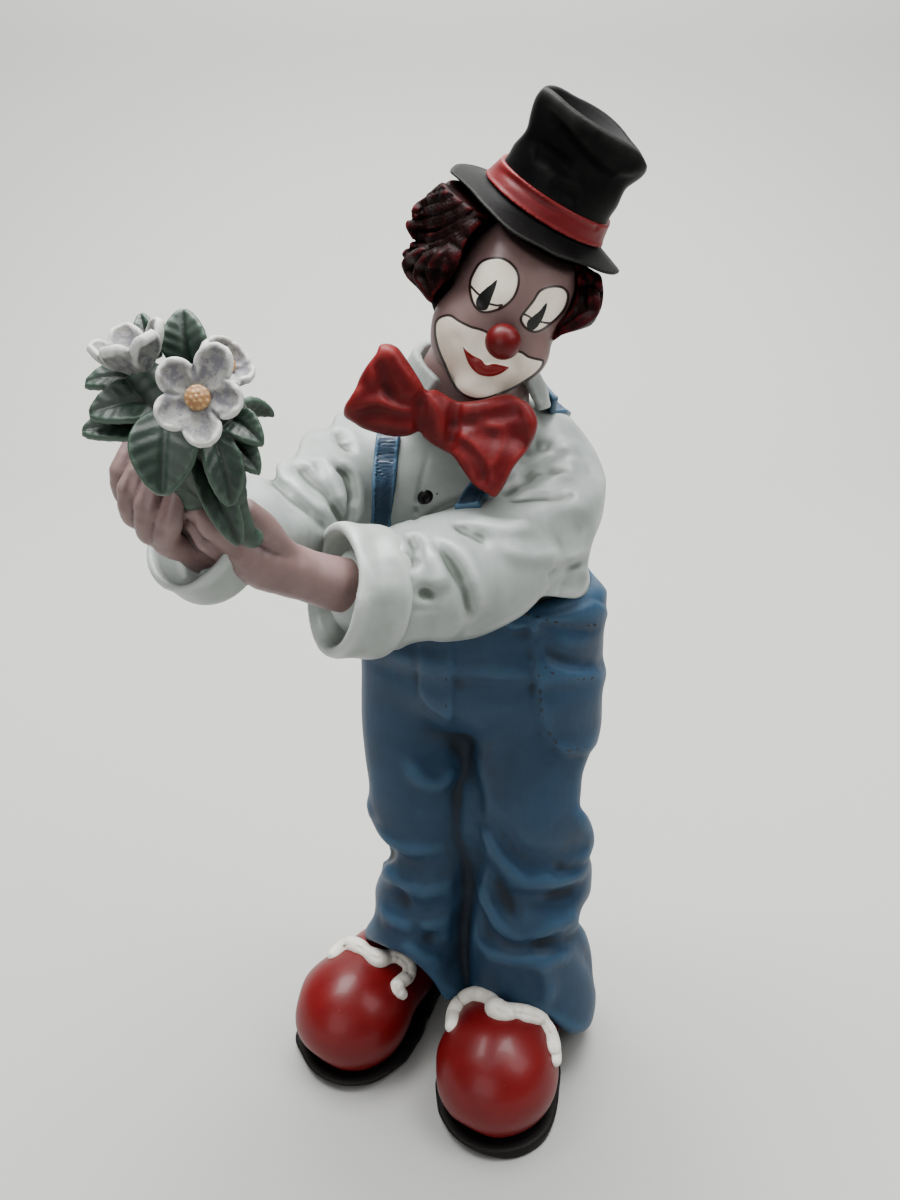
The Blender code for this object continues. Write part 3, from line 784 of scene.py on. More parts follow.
def sewn(lines, clay):
    """All the stitches along lines of pixels, as points and faces."""
    mesh = bmesh.new()
    for pixels in lines:
        spots = [spot + unit(spot - EYE) * 0.3 for spot in clay.traced(pixels, 5.0)]
        path = smooth_rows(spots, 0.3)
        run = np.concatenate([[0.0], np.cumsum(np.linalg.norm(np.diff(path, axis=0), axis=1))])
        spot = 0.4
        while spot + STITCH_LONG < run[-1]:
            start, end = ([np.interp(place, run, path[:, i]) for i in range(3)]
                          for place in (spot, spot + STITCH_LONG))
            stitch(mesh, start, end, STITCH_RADIUS)
            spot += STITCH_LONG + STITCH_GAP
    points = np.array([vertex.co[:] for vertex in mesh.verts])
    faces = [[vertex.index for vertex in face.verts] for face in mesh.faces]
    mesh.free()
    return points, faces


make_piece("trouser_stitching", *sewn(SEAMS, trouser_clay), thread, "clown_figure", "painted_resin", rounds=1)


# The shirt is a full pale grey work shirt with wide sleeves, painted with a soft sheen and a green-grey wash,
# which darkens its creases partly as painted shade.
# Its sleeves reach forward together, and long folds gather at the elbows, the armholes and the cuffs.
shirt_grey = brushed_paint("shirt grey", tone(136, 143, 139), tone(54, 62, 54), tone(178, 185, 181), 0.38,
                           wash_and_shade_range=(0.04, 0.45), rub_and_highlight_range=(0.12, 0.7), rub_and_highlight_strength=0.35, grit=0.06, patches=9.0)
shirt_clay = Clay((-66, -82, 164), (60, 48, 264), 0.74)
for rows, melt in (
    ([(10, 5, 177, 23), (8, 3, 190, 28), (4, 2, 212, 29), (5, 3, 228, 22), (8, -1, 237, 14)], 4.0),
    ([(26, 8, 221, 18), (27, -6, 211, 19), (22, -24, 206, 19), (6, -40, 205, 18), (-8, -51, 206, 16.5),
      (-17, -57, 207, 13)], 3.0),
    ([(-16, 4, 220, 18), (-28, -6, 220, 19.5), (-38, -26, 219, 17), (-45, -48, 220.5, 13.5),
      (-52, -68, 224, 10)], 3.0),
):
    shirt_clay.roll(rows, melt=melt, step=4.0)
shirt_clay.ball((9, 1, 189), (35.5, 26.5, 15.5), side=HIPS_SIDE, melt=4.0)
shirt_clay.ball((4, -2, 214), (33, 28.5, 25), melt=4.0)
shirt_clay.ball((-12, -8, 213), (20, 19.5, 27), melt=4.0)
for rows in (
    [(44, 0, 215, 3), (38, -20, 219, 3.2), (22, -39, 217, 3), (6, -50, 216, 2.5)],
    [(41, -8, 200, 3.5), (28, -35, 197, 3.5), (6, -52, 197, 3)],
    [(28, -32, 212, 2.5), (14, -46, 209, 3), (-4, -60, 207, 2.5)],
    [(26, 14, 236, 3), (38, 4, 229, 3), (42, -12, 219, 2.5)],
    [(-28, -4, 232, 3), (-38, -16, 230, 3), (-45, -34, 231, 2.8)],
    [(-40, 2, 226, 3), (-46, -12, 224, 3), (-49, -34, 224, 2.5)],
):
    shirt_clay.roll(rows, melt=5.0)


def strap(clay, line, facing, half_width, thick, rib=None, melt=0.25):
    """A flat strap along points, turned to face a direction given for each of them."""
    path = smooth_rows(line, 1.2)
    ways = np.array([np.interp(np.linspace(0, len(line) - 1, len(path)), range(len(line)), column)
                     for column in np.transpose(facing)]).T
    run = 0.0
    for start, end, way in zip(path, path[1:], ways):
        ahead = unit(end - start)
        across = unit(np.cross(ahead, way))
        face = np.cross(across, ahead)
        edge = half_width + 3.0
        part, place = clay.near(np.minimum(start, end) - edge, np.maximum(start, end) + edge)
        away = [place[i] - start[i] for i in range(3)]
        length = np.linalg.norm(end - start)
        along = sum(ahead[i] * away[i] for i in range(3))
        wide = np.abs(sum(across[i] * away[i] for i in range(3)))
        deep = sum(face[i] * away[i] for i in range(3))
        rolled = 0.3 * np.exp(-((wide - half_width + 0.5) / 0.5) ** 2)
        if rib:
            rolled = rolled + 0.17 * np.cos((run + along) * 2 * math.pi / rib) * (wide < half_width - 0.6)
        body = boxed(wide - half_width, np.abs(deep) - thick / 2 - rolled, min(thick / 2, 0.4))
        solid = np.maximum(body, np.abs(along - length / 2) - length / 2 - 0.5)
        clay.add(part, solid, melt)
        run += length


COLLAR = [
    (-5.5, -27, 249.5), (-9, -19, 251.5), (-11, -8, 253.0), (-9, 4, 253.5), (-1, 12, 253), (10, 14, 252),
    (20, 9, 249), (25.5, -2, 246.5), (25.5, -11, 246.5), (22, -19, 247.5)]
NECK_AXLE = (8, -7)
collar_facing = [unit((point[0] - NECK_AXLE[0], point[1] - NECK_AXLE[1], 12.0)) for point in COLLAR]
strap(shirt_clay, COLLAR, collar_facing, 4.4, 1.9, melt=0.6)
SHIRT_OUTLINE = [
    (225, 490), (242, 478), (257, 476), (275, 480), (277, 463), (295, 456), (302, 437), (313, 429),
    (330, 427), (339, 404), (353, 390), (378, 362), (398, 344), (424, 333), (470, 330), (530, 350),
    (549, 372), (551, 403), (571, 418), (592, 445), (604, 470), (606, 488), (602, 518), (593, 542),
    (588, 566), (590, 580), (582, 598), (545, 596), (537, 602), (523, 615), (502, 627), (475, 638),
    (444, 642), (425, 641), (400, 650), (370, 690), (320, 690), (200, 620)]
shirt_clay.trim(SHIRT_OUTLINE, (-66, -82, 164), (60, 48, 264), 1.5)
shirt_clay.ball((9, 1, 184), (33, 23, 13), side=HIPS_SIDE, melt=1.5)
SHIRT_CREASES = (
    ((504, 497), (515, 486), (531, 477), (549, 471), (567, 466)),
    ((506, 500), (531, 496), (553, 495), (571, 494)),
    ((437, 544), (448, 558), (460, 578), (468, 598), (473, 618)),
    ((455, 525), (472, 532), (486, 541)),
    ((589, 560), (568, 580), (548, 594)),
    ((412, 536), (416, 552), (414, 566)),
    ((319, 460), (323, 478), (335, 498), (348, 526)),
    ((331, 462), (346, 476), (352, 496), (349, 524)),
    ((299, 468), (312, 478), (330, 497), (343, 524)),
    ((276, 482), (297, 500), (317, 516), (331, 530)),
    ((339, 430), (342, 440), (350, 450)),
    ((404, 550), (409, 573), (407, 594)),
    ((523, 483), (544, 464), (571, 450)),
    ((548, 578), (566, 570), (586, 566)),
    ((560, 590), (572, 584), (586, 580)),
    ((420, 592), (434, 596), (448, 590)),
)
SHIRT_HOLLOWS = (
    ((560, 548), (578, 540), (592, 530)),
    ((473, 636), (482, 626), (491, 617)),
    ((300, 462), (312, 478), (316, 500)),
    ((282, 478), (292, 494), (296, 512)),
    ((520, 440), (540, 452), (548, 440)),
    ((530, 518), (556, 522), (580, 514)),
)
SHIRT_RIDGES = (
    ((506, 490), (524, 482), (548, 478), (572, 478)),
    ((446, 540), (462, 556), (474, 580), (480, 606)),
    ((428, 548), (436, 570), (440, 596)),
    ((470, 520), (500, 528), (530, 526)),
    ((340, 458), (354, 474), (358, 498), (354, 524)),
    ((325, 458), (334, 474), (343, 498), (347, 514)),
    ((308, 464), (322, 482), (336, 502), (342, 514)),
    ((288, 478), (306, 496), (326, 514)),
    ((530, 472), (552, 456), (574, 444)),
    ((398, 552), (402, 574), (400, 596)),
    ((500, 548), (530, 556), (560, 552)),
    ((402, 540), (404, 566), (410, 590)),
)
shirt_clay.folds(SHIRT_HOLLOWS, 4.4, 2.4)
shirt_clay.folds(SHIRT_RIDGES, 2.4, -1.7)
shirt_clay.folds(SHIRT_CREASES, 1.7, 2.8)
SLEEVE_PLEAT = ((408, 609), (420, 609.5), (440, 609.5))
shirt_clay.folds((SLEEVE_PLEAT,), 0.8, 0.7)
FRONT_BAND = ((430, 448), (423, 477), (417, 511), (412, 532))
shirt_clay.folds((FRONT_BAND,), 0.7, 0.7)
BACK_CREASES = (
    [(30, 22, 232), (20, 28, 214), (16, 29, 194)],
    [(-18, 20, 230), (-8, 27, 212), (-2, 28, 194)],
    [(40, 14, 222), (34, 20, 206), (30, 24, 192)],
    [(-30, 10, 224), (-24, 18, 208), (-16, 22, 194)],
)
for line in BACK_CREASES:
    shirt_clay.groove(line, 3.0, 1.5)
make_piece("shirt", *shirt_clay.skin(), shirt_grey, "clown_figure", "painted_resin", rounds=22)


# The braces are ribbed blue webbing, two straps over the shoulders, sculpted flat on the shirt.
# Their edges roll over slightly, and they meet low on the back.
brace_blue = brushed_paint("brace blue", tone(23, 52, 76), tone(7, 17, 28), tone(66, 102, 128), 0.45,
                           wash_and_shade_range=(0.02, 0.14), rub_and_highlight_range=(0.02, 0.14), rub_and_highlight_strength=0.6, grit=0.3, patches=4.0)
BRACE_HALF_WIDTH, BRACE_THICK, RIB = 3.2, 1.6, 0.85
LEFT_BRACE = ((389, 436), (387, 450), (384, 475), (380, 505), (379, 526))
RIGHT_BRACE = ((492, 470), (482, 487), (472, 502), (463, 516))
BACK_BRACES = (
    [(29, 0, 244), (33, 8, 240), (32, 20, 230), (24, 29, 212), (16, 31, 194), (14, 31, 174)],
    [(-13, 0, 246), (-16, 12, 240), (-12, 23, 228), (-4, 30, 212), (6, 31.5, 194), (10, 31, 174)],
)
brace_clay = Clay((-26, -40, 168), (44, 42, 254), 0.4)
FRONT_BRACES = [shirt_clay.traced(pixels, 12.0) for pixels in (LEFT_BRACE, RIGHT_BRACE)]
for line in FRONT_BRACES:
    ways = shirt_clay.outward(line, 5.0)
    raised = [point + way * 0.5 for point, way in zip(line, ways)]
    strap(brace_clay, raised, ways, BRACE_HALF_WIDTH, BRACE_THICK, RIB)
for line in BACK_BRACES:
    line = [shirt_clay.settle(point) for point in smooth_rows(line, 5.0, span=2)]
    ways = shirt_clay.outward(line, 6.0)
    ways = [unit(sum(ways[max(0, i - 2):i + 3])) for i in range(len(ways))]
    raised = [point + way * 0.6 for point, way in zip(line, ways)]
    strap(brace_clay, raised, ways, BRACE_HALF_WIDTH, BRACE_THICK, RIB)
make_piece("braces", *brace_clay.skin(), brace_blue, "clown_figure", "painted_resin", rounds=8)


# The shirt button is a small domed black bead on the front band, with a short worked buttonhole beside it.
# It is painted gloss black, with a little grey on its rim, partly rubbed dust and partly painted highlight.
button_black = brushed_paint("button black", tone(7, 6, 6), tone(3, 3, 3), tone(50, 48, 46), 0.3,
                             rub_and_highlight_strength=0.2, grit=0.1, gloss=0.25)
button_clay = Clay((-16, -40, 212), (6, -20, 232), 0.25)
BUTTON = (426, 498)
BUTTONHOLE = ((434, 495), (437, 494), (439, 492))
button_at, *hole = shirt_clay.seen(BUTTON, *BUTTONHOLE)
button_clay.ball(button_at, (2.3, 1.2, 2.3), melt=0.3)
button_clay.ball(np.add(button_at, (0, -1.2, 0.2)), (1.1, 0.5, 1.1), melt=0.2, dig=True)
button_clay.roll([(*point, 0.3) for point in hole], melt=0.1, step=0.5)
make_piece("shirt_button", *button_clay.skin(), button_black, "clown_figure", "painted_resin", rounds=4)


# The cuffs are deep turned-back sleeve ends, thick like rolled felt, modelled in one with the sleeves.
# Each stands open round the wrist, with a shadowed lining inside and soft waves in its rim.
cuff_grey = brushed_paint("cuff grey", tone(149, 156, 151), tone(48, 54, 48), tone(188, 194, 190), 0.40,
                          wash_and_shade_range=(0.08, 0.9), rub_and_highlight_range=(0.12, 0.5), rub_and_highlight_strength=0.4, grit=0.07, patches=8.0)
CUFFS = (
    ((-22.5, -58.5, 208), (-0.845, -0.42, 0.24), 1.0),
    ((-54.5, -72, 225), (-0.42, -0.62, 0.66), 0.78),
)
CUFF_PROFILE = ((0, -8), (12.5, -8), (15.5, -7.2), (16.6, -4), (16.3, 1), (16.6, 5), (15.8, 6.9),
                (14.2, 6.9), (13.2, 5.2), (12.4, 1.5), (9, -2), (0, -3.2))
cuff_clay = Clay((-74, -94, 184), (2, -38, 246), 0.55)
for at, axis, size in CUFFS:
    cuff_clay.turning(at, axis, (0, 0, 1), [(r * size, h * size) for r, h in CUFF_PROFILE], melt=0.6)
CUFF_WAVES = (
    ((376, 532), (380, 556), (386, 580)),
    ((366, 540), (362, 566), (366, 596)),
    ((396, 562), (398, 590), (396, 620)),
    ((384, 604), (380, 630), (372, 650)),
    ((172, 570), (184, 584), (200, 592)),
)
cuff_clay.folds(CUFF_WAVES, 2.6, 0.8)
make_piece("cuffs", *cuff_clay.skin(), cuff_grey, "clown_figure", "painted_resin", rounds=20)


# The hands are bare and mauve-brown, cast with thin wrists: the left lies palm up in front of the right.
# The fingers curl round the stems, each with soft knuckles and a small nail.
skin_mauve = brushed_paint("skin mauve", tone(116, 92, 89), tone(52, 34, 34), tone(146, 122, 118), 0.46,
                           wash_and_shade_range=(0.03, 0.3), rub_and_highlight_range=(0.05, 0.35), rub_and_highlight_strength=0.35, grit=0.06, patches=6.0)
hand_clay = Clay((-74, -94, 196), (-6, -44, 256), 0.42)
FOREARMS = (
    [(-13, -53, 205, 7.6), (-20, -58.5, 208.5, 7.0), (-28, -65, 213, 6.4), (-36, -70, 218, 5.8)],
    [(-36, -70, 218, 5.8), (-41, -74.5, 221.5, 6.0), (-46, -78.5, 226, 4.8)],
    [(-50, -64, 221, 7.0), (-54.5, -71, 225, 7.0), (-56, -76, 231, 6.5), (-57, -78, 235, 4.5)],
)
FINGERS = (
    [(-41, -75, 221, 3.6), (-47.3, -79, 225.5, 2.9), (-51, -82, 230, 2.7), (-53.3, -84, 234.5, 2.1)],
    [(-40, -75.5, 222.5, 3.4), (-46.1, -80, 228.1, 2.9), (-49.7, -84, 233.4, 2.6), (-52.5, -86.5, 238, 2.1)],
    [(-42, -74, 219.5, 3.6), (-48, -77, 223.5, 2.8), (-52, -79, 228, 2.4), (-53.5, -81, 231, 2.0)],
    [(-36, -70, 219, 5.0), (-38.3, -73.5, 224.5, 3.8), (-40.2, -78, 231.5, 3.2), (-42.8, -81, 236.5, 2.4)],
    [(-55, -76, 226, 4.0), (-59, -84.5, 230.5, 3.0), (-56.8, -88.5, 237, 2.7), (-55, -88, 242, 2.2)],
    [(-57, -76, 228, 4.0), (-62, -84.5, 233, 3.0), (-61, -87.5, 239.5, 2.8), (-59.6, -86, 244, 2.2)],
    [(-59, -75, 230, 4.0), (-65.2, -83, 236.2, 3.0), (-64.6, -85.5, 242.3, 2.8), (-63, -83, 247, 2.2)],
    [(-60, -74, 231, 4.0), (-67.5, -79.5, 239.5, 2.8), (-67.2, -81.5, 245, 2.6), (-65.5, -79, 249.8, 2.1)],
)
for rows in FOREARMS:
    hand_clay.roll(rows, melt=1.6)
for rows in FINGERS:
    hand_clay.roll(rows, melt=0.5, step=1.5)
    for joint in rows[1:3]:
        hand_clay.ball(np.add(joint[:3], (-0.3, -0.4, 0.1)), (joint[3] * 0.95,) * 3, melt=0.6)
hand_clay.ball((-54, -77, 229), (6, 4.5, 7), melt=1.5)
HAND_CREASES = (
    ((192, 528), (209, 546), (225, 562), (241, 574)),
    ((133, 472), (128, 490), (124, 510)),
    ((149, 484), (144, 504), (140, 524)),
    ((168, 492), (162, 512), (160, 536)),
    ((186, 496), (190, 512), (192, 528)),
    ((233, 508), (239, 520), (251, 532), (257, 536)),
)
hand_clay.folds(HAND_CREASES, 0.9, 0.8)
make_piece("hands", *hand_clay.skin(), skin_mauve, "clown_figure", "painted_resin", rounds=14)


# The head is an egg that leans to the figure's left, with full cheeks and a pointed chin, painted as a clown.
# Cream patches ring the eyes and the mouth, outlined in dark brown, with teardrop pupils and red lips.
HEAD = np.array((15.0, -19.0, 271.0))
RIGHT = np.array((0.921, 0.0, -0.389))
FORWARD = np.array((-0.04, -0.99, -0.11))
CROWN = np.array((0.39, -0.11, 0.915))


def on_head(right, forward, up):
    """A place on the head, in millimetres from its middle."""
    return HEAD + RIGHT * right + FORWARD * forward + CROWN * up


EYE_PATCHES = (
    [(470, 284), (472, 276), (479.5, 263.6), (490, 258.5), (502, 258.5), (512, 264.5), (518, 274),
     (518, 286), (513, 298), (503.6, 306.7), (493, 311), (483, 312), (476, 307.5), (472, 300),
     (470, 291)],
    [(521, 319.6), (523.4, 313.6), (533, 301.5), (540, 291), (550, 287), (560.5, 287), (566.5, 291),
     (568, 298), (565, 308), (558, 317), (550, 324), (541.5, 330), (533, 331.6), (525, 327)],
)
PUPILS = (
    [(497, 279.5), (496.5, 284), (495, 289), (492, 297), (489, 305.5), (486, 310), (479.5, 309.5),
     (475.8, 304), (477.6, 297), (484.7, 289.4), (491, 284.5)],
    [(547, 302.5), (546.5, 308), (544.5, 314), (541.5, 321), (536.4, 328), (531, 330.7), (527, 327),
     (527.6, 321), (534, 315.5), (540, 310.5), (543.5, 306)],
)
MUZZLE = [(435, 332), (436, 322), (441, 317), (450, 315.6), (459, 321), (471, 327), (485.6, 331.6),
          (497, 342), (508, 350), (521, 352), (528, 356.6), (536, 359), (543, 361), (541.5, 367),
          (535, 374), (528, 379), (514, 387.6), (500, 393.6), (486, 398), (476, 398.8), (466, 396),
          (459, 391), (452, 381), (445, 365), (438, 348)]
LIPS = [(462, 343.5), (463.5, 347), (467, 351), (473, 355.5), (481, 359.5), (486, 365), (493, 363.8),
        (500, 364.8), (509, 367.3), (505, 371), (500, 374), (493, 376.2), (486, 376.4), (478, 374),
        (471, 367.5), (466, 358)]
LID_LINES = (
    [(470.6, 286), (476, 292), (480.4, 296)], [(490, 304), (497, 305.5), (502, 305), (498.5, 309)],
    [(522.6, 313.5), (528, 316), (533, 319.5)], [(541.5, 322), (546, 323), (550, 323)],
)
OUTLINE_BROWN = tone(30, 12, 11)
PUPIL_BLACK = tone(5, 4, 4)
LIP_RED = tone(120, 9, 12)
CREAM = tone(247, 238, 220)
PIXEL = 0.26


def line_distance(line, x, y):
    """How far points lie from an open line."""
    nearest = 1e12
    for (ax, ay), (bx, by) in zip(line, line[1:]):
        along_x, along_y = bx - ax, by - ay
        length = along_x ** 2 + along_y ** 2
        share = np.clip(((x - ax) * along_x + (y - ay) * along_y) / length, 0, 1)
        nearest = np.minimum(nearest, np.hypot(x - ax - share * along_x, y - ay - share * along_y))
    return nearest


def face_marks(points, normals):
    """How far each point of the head lies from the painted outlines, in millimetres."""
    across, down = photo_place(*points.T)
    fronts = (normals @ unit(EYE - HEAD) > 0.02) & ((points - HEAD) @ FORWARD > 1.0)
    hidden = np.where(fronts, 0.0, 40.0)

    def apart(outlines):
        found = [outline_distance(smooth_rows(line, 2.0, True, 2), across, down) for line in outlines]
        return np.minimum.reduce(found) * PIXEL + hidden

    lids = [line_distance(smooth_rows(line, 2.0, span=2), across, down) for line in LID_LINES]
    return {
        "cream": apart((*EYE_PATCHES, MUZZLE)),
        "pupil": apart(PUPILS),
        "lips": apart((LIPS,)),
        "lids": np.minimum.reduce(lids) * PIXEL + hidden,
    }


def clown_face(start, colour, rough):
    """The painted face: cream patches with painted shade in their hollows, brown outlines, black pupils and
    glossy red lips.
    """
    cream, pupil, lips, lids = (start.layer(name) for name in ("cream", "pupil", "lips", "lids"))
    shaky = (start.spots(2.0, 2.0) - 0.5) * 0.12
    hollow = start.layer("hollow")
    cream_and_shade = start.spots(4.0).band(0.35, 0.7).blend(CREAM, between(CREAM, tone(206, 192, 170), 0.35))
    # The cream is darker in the face's hollows as painted shade.
    cream_and_shade = (hollow.band(0.16, 0.6) * 0.5).blend(cream_and_shade, tone(168, 146, 124))
    inside = 1.0 - (cream + shaky).band(-0.06, 0.06)
    colour = inside.blend(colour, cream_and_shade)
    edge = (1.0 - cream.maths("ABSOLUTE", cream + shaky).band(0.26, 0.42)) * 0.97
    colour = edge.blend(colour, OUTLINE_BROWN)
    colour = (1.0 - (lids + shaky * 0.5).band(0.22, 0.38)).blend(colour, OUTLINE_BROWN)
    colour = (1.0 - (pupil + shaky * 0.5).band(-0.05, 0.07)).blend(colour, PUPIL_BLACK)
    painted_lips = 1.0 - (lips + shaky * 0.5).band(-0.06, 0.08)
    colour = painted_lips.blend(colour, LIP_RED)
    return colour, rough - painted_lips * 0.18 - inside * 0.05


face_paint = brushed_paint("clown face", tone(123, 98, 95), tone(56, 38, 38), tone(142, 118, 114), 0.42,
                           wash_and_shade_range=(0.10, 0.6), rub_and_highlight_range=(0.10, 0.5), rub_and_highlight_strength=0.25, grit=0.05, patches=6.0,
                           gloss=0.35, extras=clown_face)
BRIM = np.array((21.6, -13.0, 288.65))
UPRIGHT = np.array((0.475, -0.20, 0.857))
head_clay = Clay((-12, -50, 236), (42, 12, 296), 0.36)
head_clay.roll([(6, -6, 238, 15.5), (6.5, -6.5, 247, 15.5), (11, -13, 262, 10)], melt=2.0)
head_clay.ball(on_head(0, -1, 2), (15.2, 17, 19), axis=CROWN, side=RIGHT, melt=2.0)
head_clay.ball(on_head(0, 5, -12), (11.5, 10.5, 11.5), axis=CROWN, side=RIGHT, melt=3.0)
for hand in (-1, 1):
    head_clay.ball(on_head(8 * hand, 9, -8), (6, 6, 7), axis=CROWN, side=RIGHT, melt=3.0)
head_clay.ball(on_head(-9.8, 6.5, -8), (7.0, 8, 9), axis=CROWN, side=RIGHT, melt=3.0)
head_clay.ball(on_head(-8.6, 6, -14), (5.6, 6, 6), axis=CROWN, side=RIGHT, melt=3.0)
head_clay.ball(on_head(0, 12, -20), (5.5, 4, 4), axis=CROWN, side=RIGHT, melt=2.5)
for patch in EYE_PATCHES:
    head_clay.relief(patch, (0, -50, 262), (42, -26, 290), 0.45, 1.2)
head_clay.relief(LIPS, (-4, -50, 244), (36, -26, 268), 0.8, 0.9)
MOUTH_CORNERS = ((455, 336), (459, 343), (463, 349)), ((510, 362), (515, 366), (514, 372))
LIP_PARTING = ((468, 351), (478, 362), (486, 369), (496, 369), (506, 368))
CHIN_CREASE = ((474, 388), (484, 388), (494, 385))
head_clay.folds(MOUTH_CORNERS, 1.2, 0.5)
head_clay.folds((LIP_PARTING,), 0.5, 0.35)
head_clay.folds((CHIN_CREASE,), 1.6, 0.4)
head_clay.pare(BRIM - UPRIGHT * 2.0, UPRIGHT)
make_piece("head", *head_clay.skin(), face_paint, "clown_figure", "painted_resin", rounds=20,
           marks=face_marks)


# The nose is a glossy red ball set on the face over the mouth patch.
# It is cast with the head and enamelled in the same red as the lips.
nose_red = brushed_paint("nose red", tone(84, 4, 7), tone(46, 3, 5), tone(104, 14, 15), 0.38,
                         wash_and_shade_range=(0.2, 0.6), rub_and_highlight_strength=0.3, grit=0.06, patches=4.0, gloss=0.25)
nose_clay = Clay((4, -50, 256), (24, -30, 276), 0.3)
NOSE_RADIUS = 4.25
nose_at = on_head(0.5, 19.3, -5.1)
nose_clay.ball(nose_at, (NOSE_RADIUS * 1.03, NOSE_RADIUS * 0.98, NOSE_RADIUS), axis=CROWN, side=RIGHT)
make_piece("nose", *nose_clay.skin(), nose_red, "clown_figure", "painted_resin", rounds=6)


# The hair is a bushy wig of wavy locks, swept back under the hat in a bunch on each side.
# It is cast in combed strands, painted black-brown with dark red brushed along the ridges.
hair_paint = brushed_paint("hair black", tone(12, 6, 6), tone(3, 2, 2), tone(92, 20, 26), 0.45,
                           wash_and_shade_range=(0.02, 0.16), rub_and_highlight_range=(0.06, 0.26), rub_and_highlight_strength=0.5, grit=0.2, patches=6.0,
                           gloss=0.05)
HAIR_CORNERS = (-14, -42, 248), (50, 12, 304)
STRANDS = (15, 0.34, 0.06)
LEFT_LOCKS = (
    ((468, 180), (456, 188), (442, 190), (431, 197)),
    ((464, 188), (452, 196), (440, 199), (426, 204), (416, 210)),
    ((471, 194), (459, 203), (445, 209), (431, 212), (416, 216)),
    ((476, 203), (462, 214), (448, 220), (433, 224), (419, 226), (409, 225)),
    ((480, 213), (466, 224), (452, 232), (438, 238), (424, 237), (411, 233)),
    ((474, 226), (457, 240), (442, 247), (428, 250), (414, 246)),
    ((466, 242), (448, 254), (432, 260), (418, 258), (406, 253)),
    ((424, 254), (412, 260), (407, 270), (414, 283), (428, 298)),
    ((436, 256), (424, 264), (420, 276), (426, 288), (434, 300)),
    ((450, 252), (438, 260), (432, 272), (434, 290)),
    ((458, 254), (446, 264), (441, 278), (436, 292)),
)
LEFT_BUNCH = [
    (470, 160), (448, 172), (442, 180), (430, 191), (419, 197), (411, 208), (405.5, 221), (406, 230),
    (411, 237), (407, 247), (400, 256), (402, 268), (407, 278), (417.6, 288.5), (430.5, 303), (436, 292),
    (450, 278), (459, 264), (464, 247), (473, 232), (490, 216), (505, 190)]
RIGHT_LOCKS = (
    ((586, 270), (596, 280), (599, 294), (597, 308), (586, 322)),
    ((581, 270), (589, 284), (589, 300), (582, 316), (568, 328)),
    ((579, 280), (580, 298), (573, 314), (560, 328), (554, 336)),
    ((592, 296), (592, 312), (580, 322), (562, 332)),
)
RIGHT_BUNCH = [
    (575, 262), (598, 266), (603, 285), (603.5, 295), (602, 306), (598, 316), (591.5, 325), (579, 330),
    (562, 335), (553, 341), (556, 326), (568, 312), (576, 294), (577, 278)]


def bunch(balls, locks, outline):
    """One bunch of locks laid over a padded form and pared to its outline."""
    clay = Clay(*HAIR_CORNERS, 0.36)
    for at, size in balls:
        clay.ball(on_head(*at), size, axis=CROWN, side=RIGHT)
    for pixels in locks:
        line = clay.traced(pixels, 6.0)
        widths = 2.0 - 0.7 * np.linspace(0, 1, len(line)) ** 2
        rows = [(*point, width) for point, width in zip(line, widths)]
        clay.roll(rows, melt=0.15, step=1.2, strands=STRANDS)
    clay.trim(outline, *HAIR_CORNERS, 0.5)
    return clay


hair_clay = Clay(*HAIR_CORNERS, 0.36)
hair_clay.ball(on_head(0, -5, 3), (15.5, 13.5, 16.0), axis=CROWN, side=RIGHT)
for i in range(-4, 5):
    hair_clay.roll([(*on_head(3.2 * i, -16, 14), 3.0), (*on_head(3.7 * i, -19, 2), 3.6),
                    (*on_head(3.2 * i, -16, -11), 3.0)], melt=0.4, step=1.5, strands=STRANDS)
for hand, size in ((-1, 1.0), (1, 0.8)):
    for i in range(3):
        hair_clay.roll([(*on_head(hand * 13, -3 - 4 * i, 12), 3.0),
                        (*on_head(hand * (17 - 1.2 * i), -5 - 4.5 * i, 1), 4.0 * size),
                        (*on_head(hand * 15, -4 - 4 * i, -9), 3.0)], melt=0.4, step=1.5, strands=STRANDS)
UNDER_CHIN = [(450, 350), (490, 390), (540, 370)]
OVER_HAT = [(590, 240), (520, 150)]
WIG_OUTLINE = LEFT_BUNCH[:15] + UNDER_CHIN + RIGHT_BUNCH[9:1:-1] + OVER_HAT
hair_clay.trim(WIG_OUTLINE, *HAIR_CORNERS, 0.8)
LEFT_PADS = (
    ((-17, -5, 13), (10, 12, 11)), ((-14, -2, 9), (9, 12, 10)), ((-17, -1, 0), (8, 11, 13)),
    ((-18, 0, -6), (6, 9, 9)))
RIGHT_PADS = ((17, 1, 0), (6, 9, 10)), ((15, 4, -7), (5, 8, 7))
for laid in ((LEFT_PADS, LEFT_LOCKS, LEFT_BUNCH), (RIGHT_PADS, RIGHT_LOCKS, RIGHT_BUNCH)):
    hair_clay.field = np.minimum(hair_clay.field, bunch(*laid).field)
hair_clay.pare(BRIM - UPRIGHT * 0.6, UPRIGHT)
make_piece("hair", *hair_clay.skin(), hair_paint, "clown_figure", "painted_resin", rounds=8)


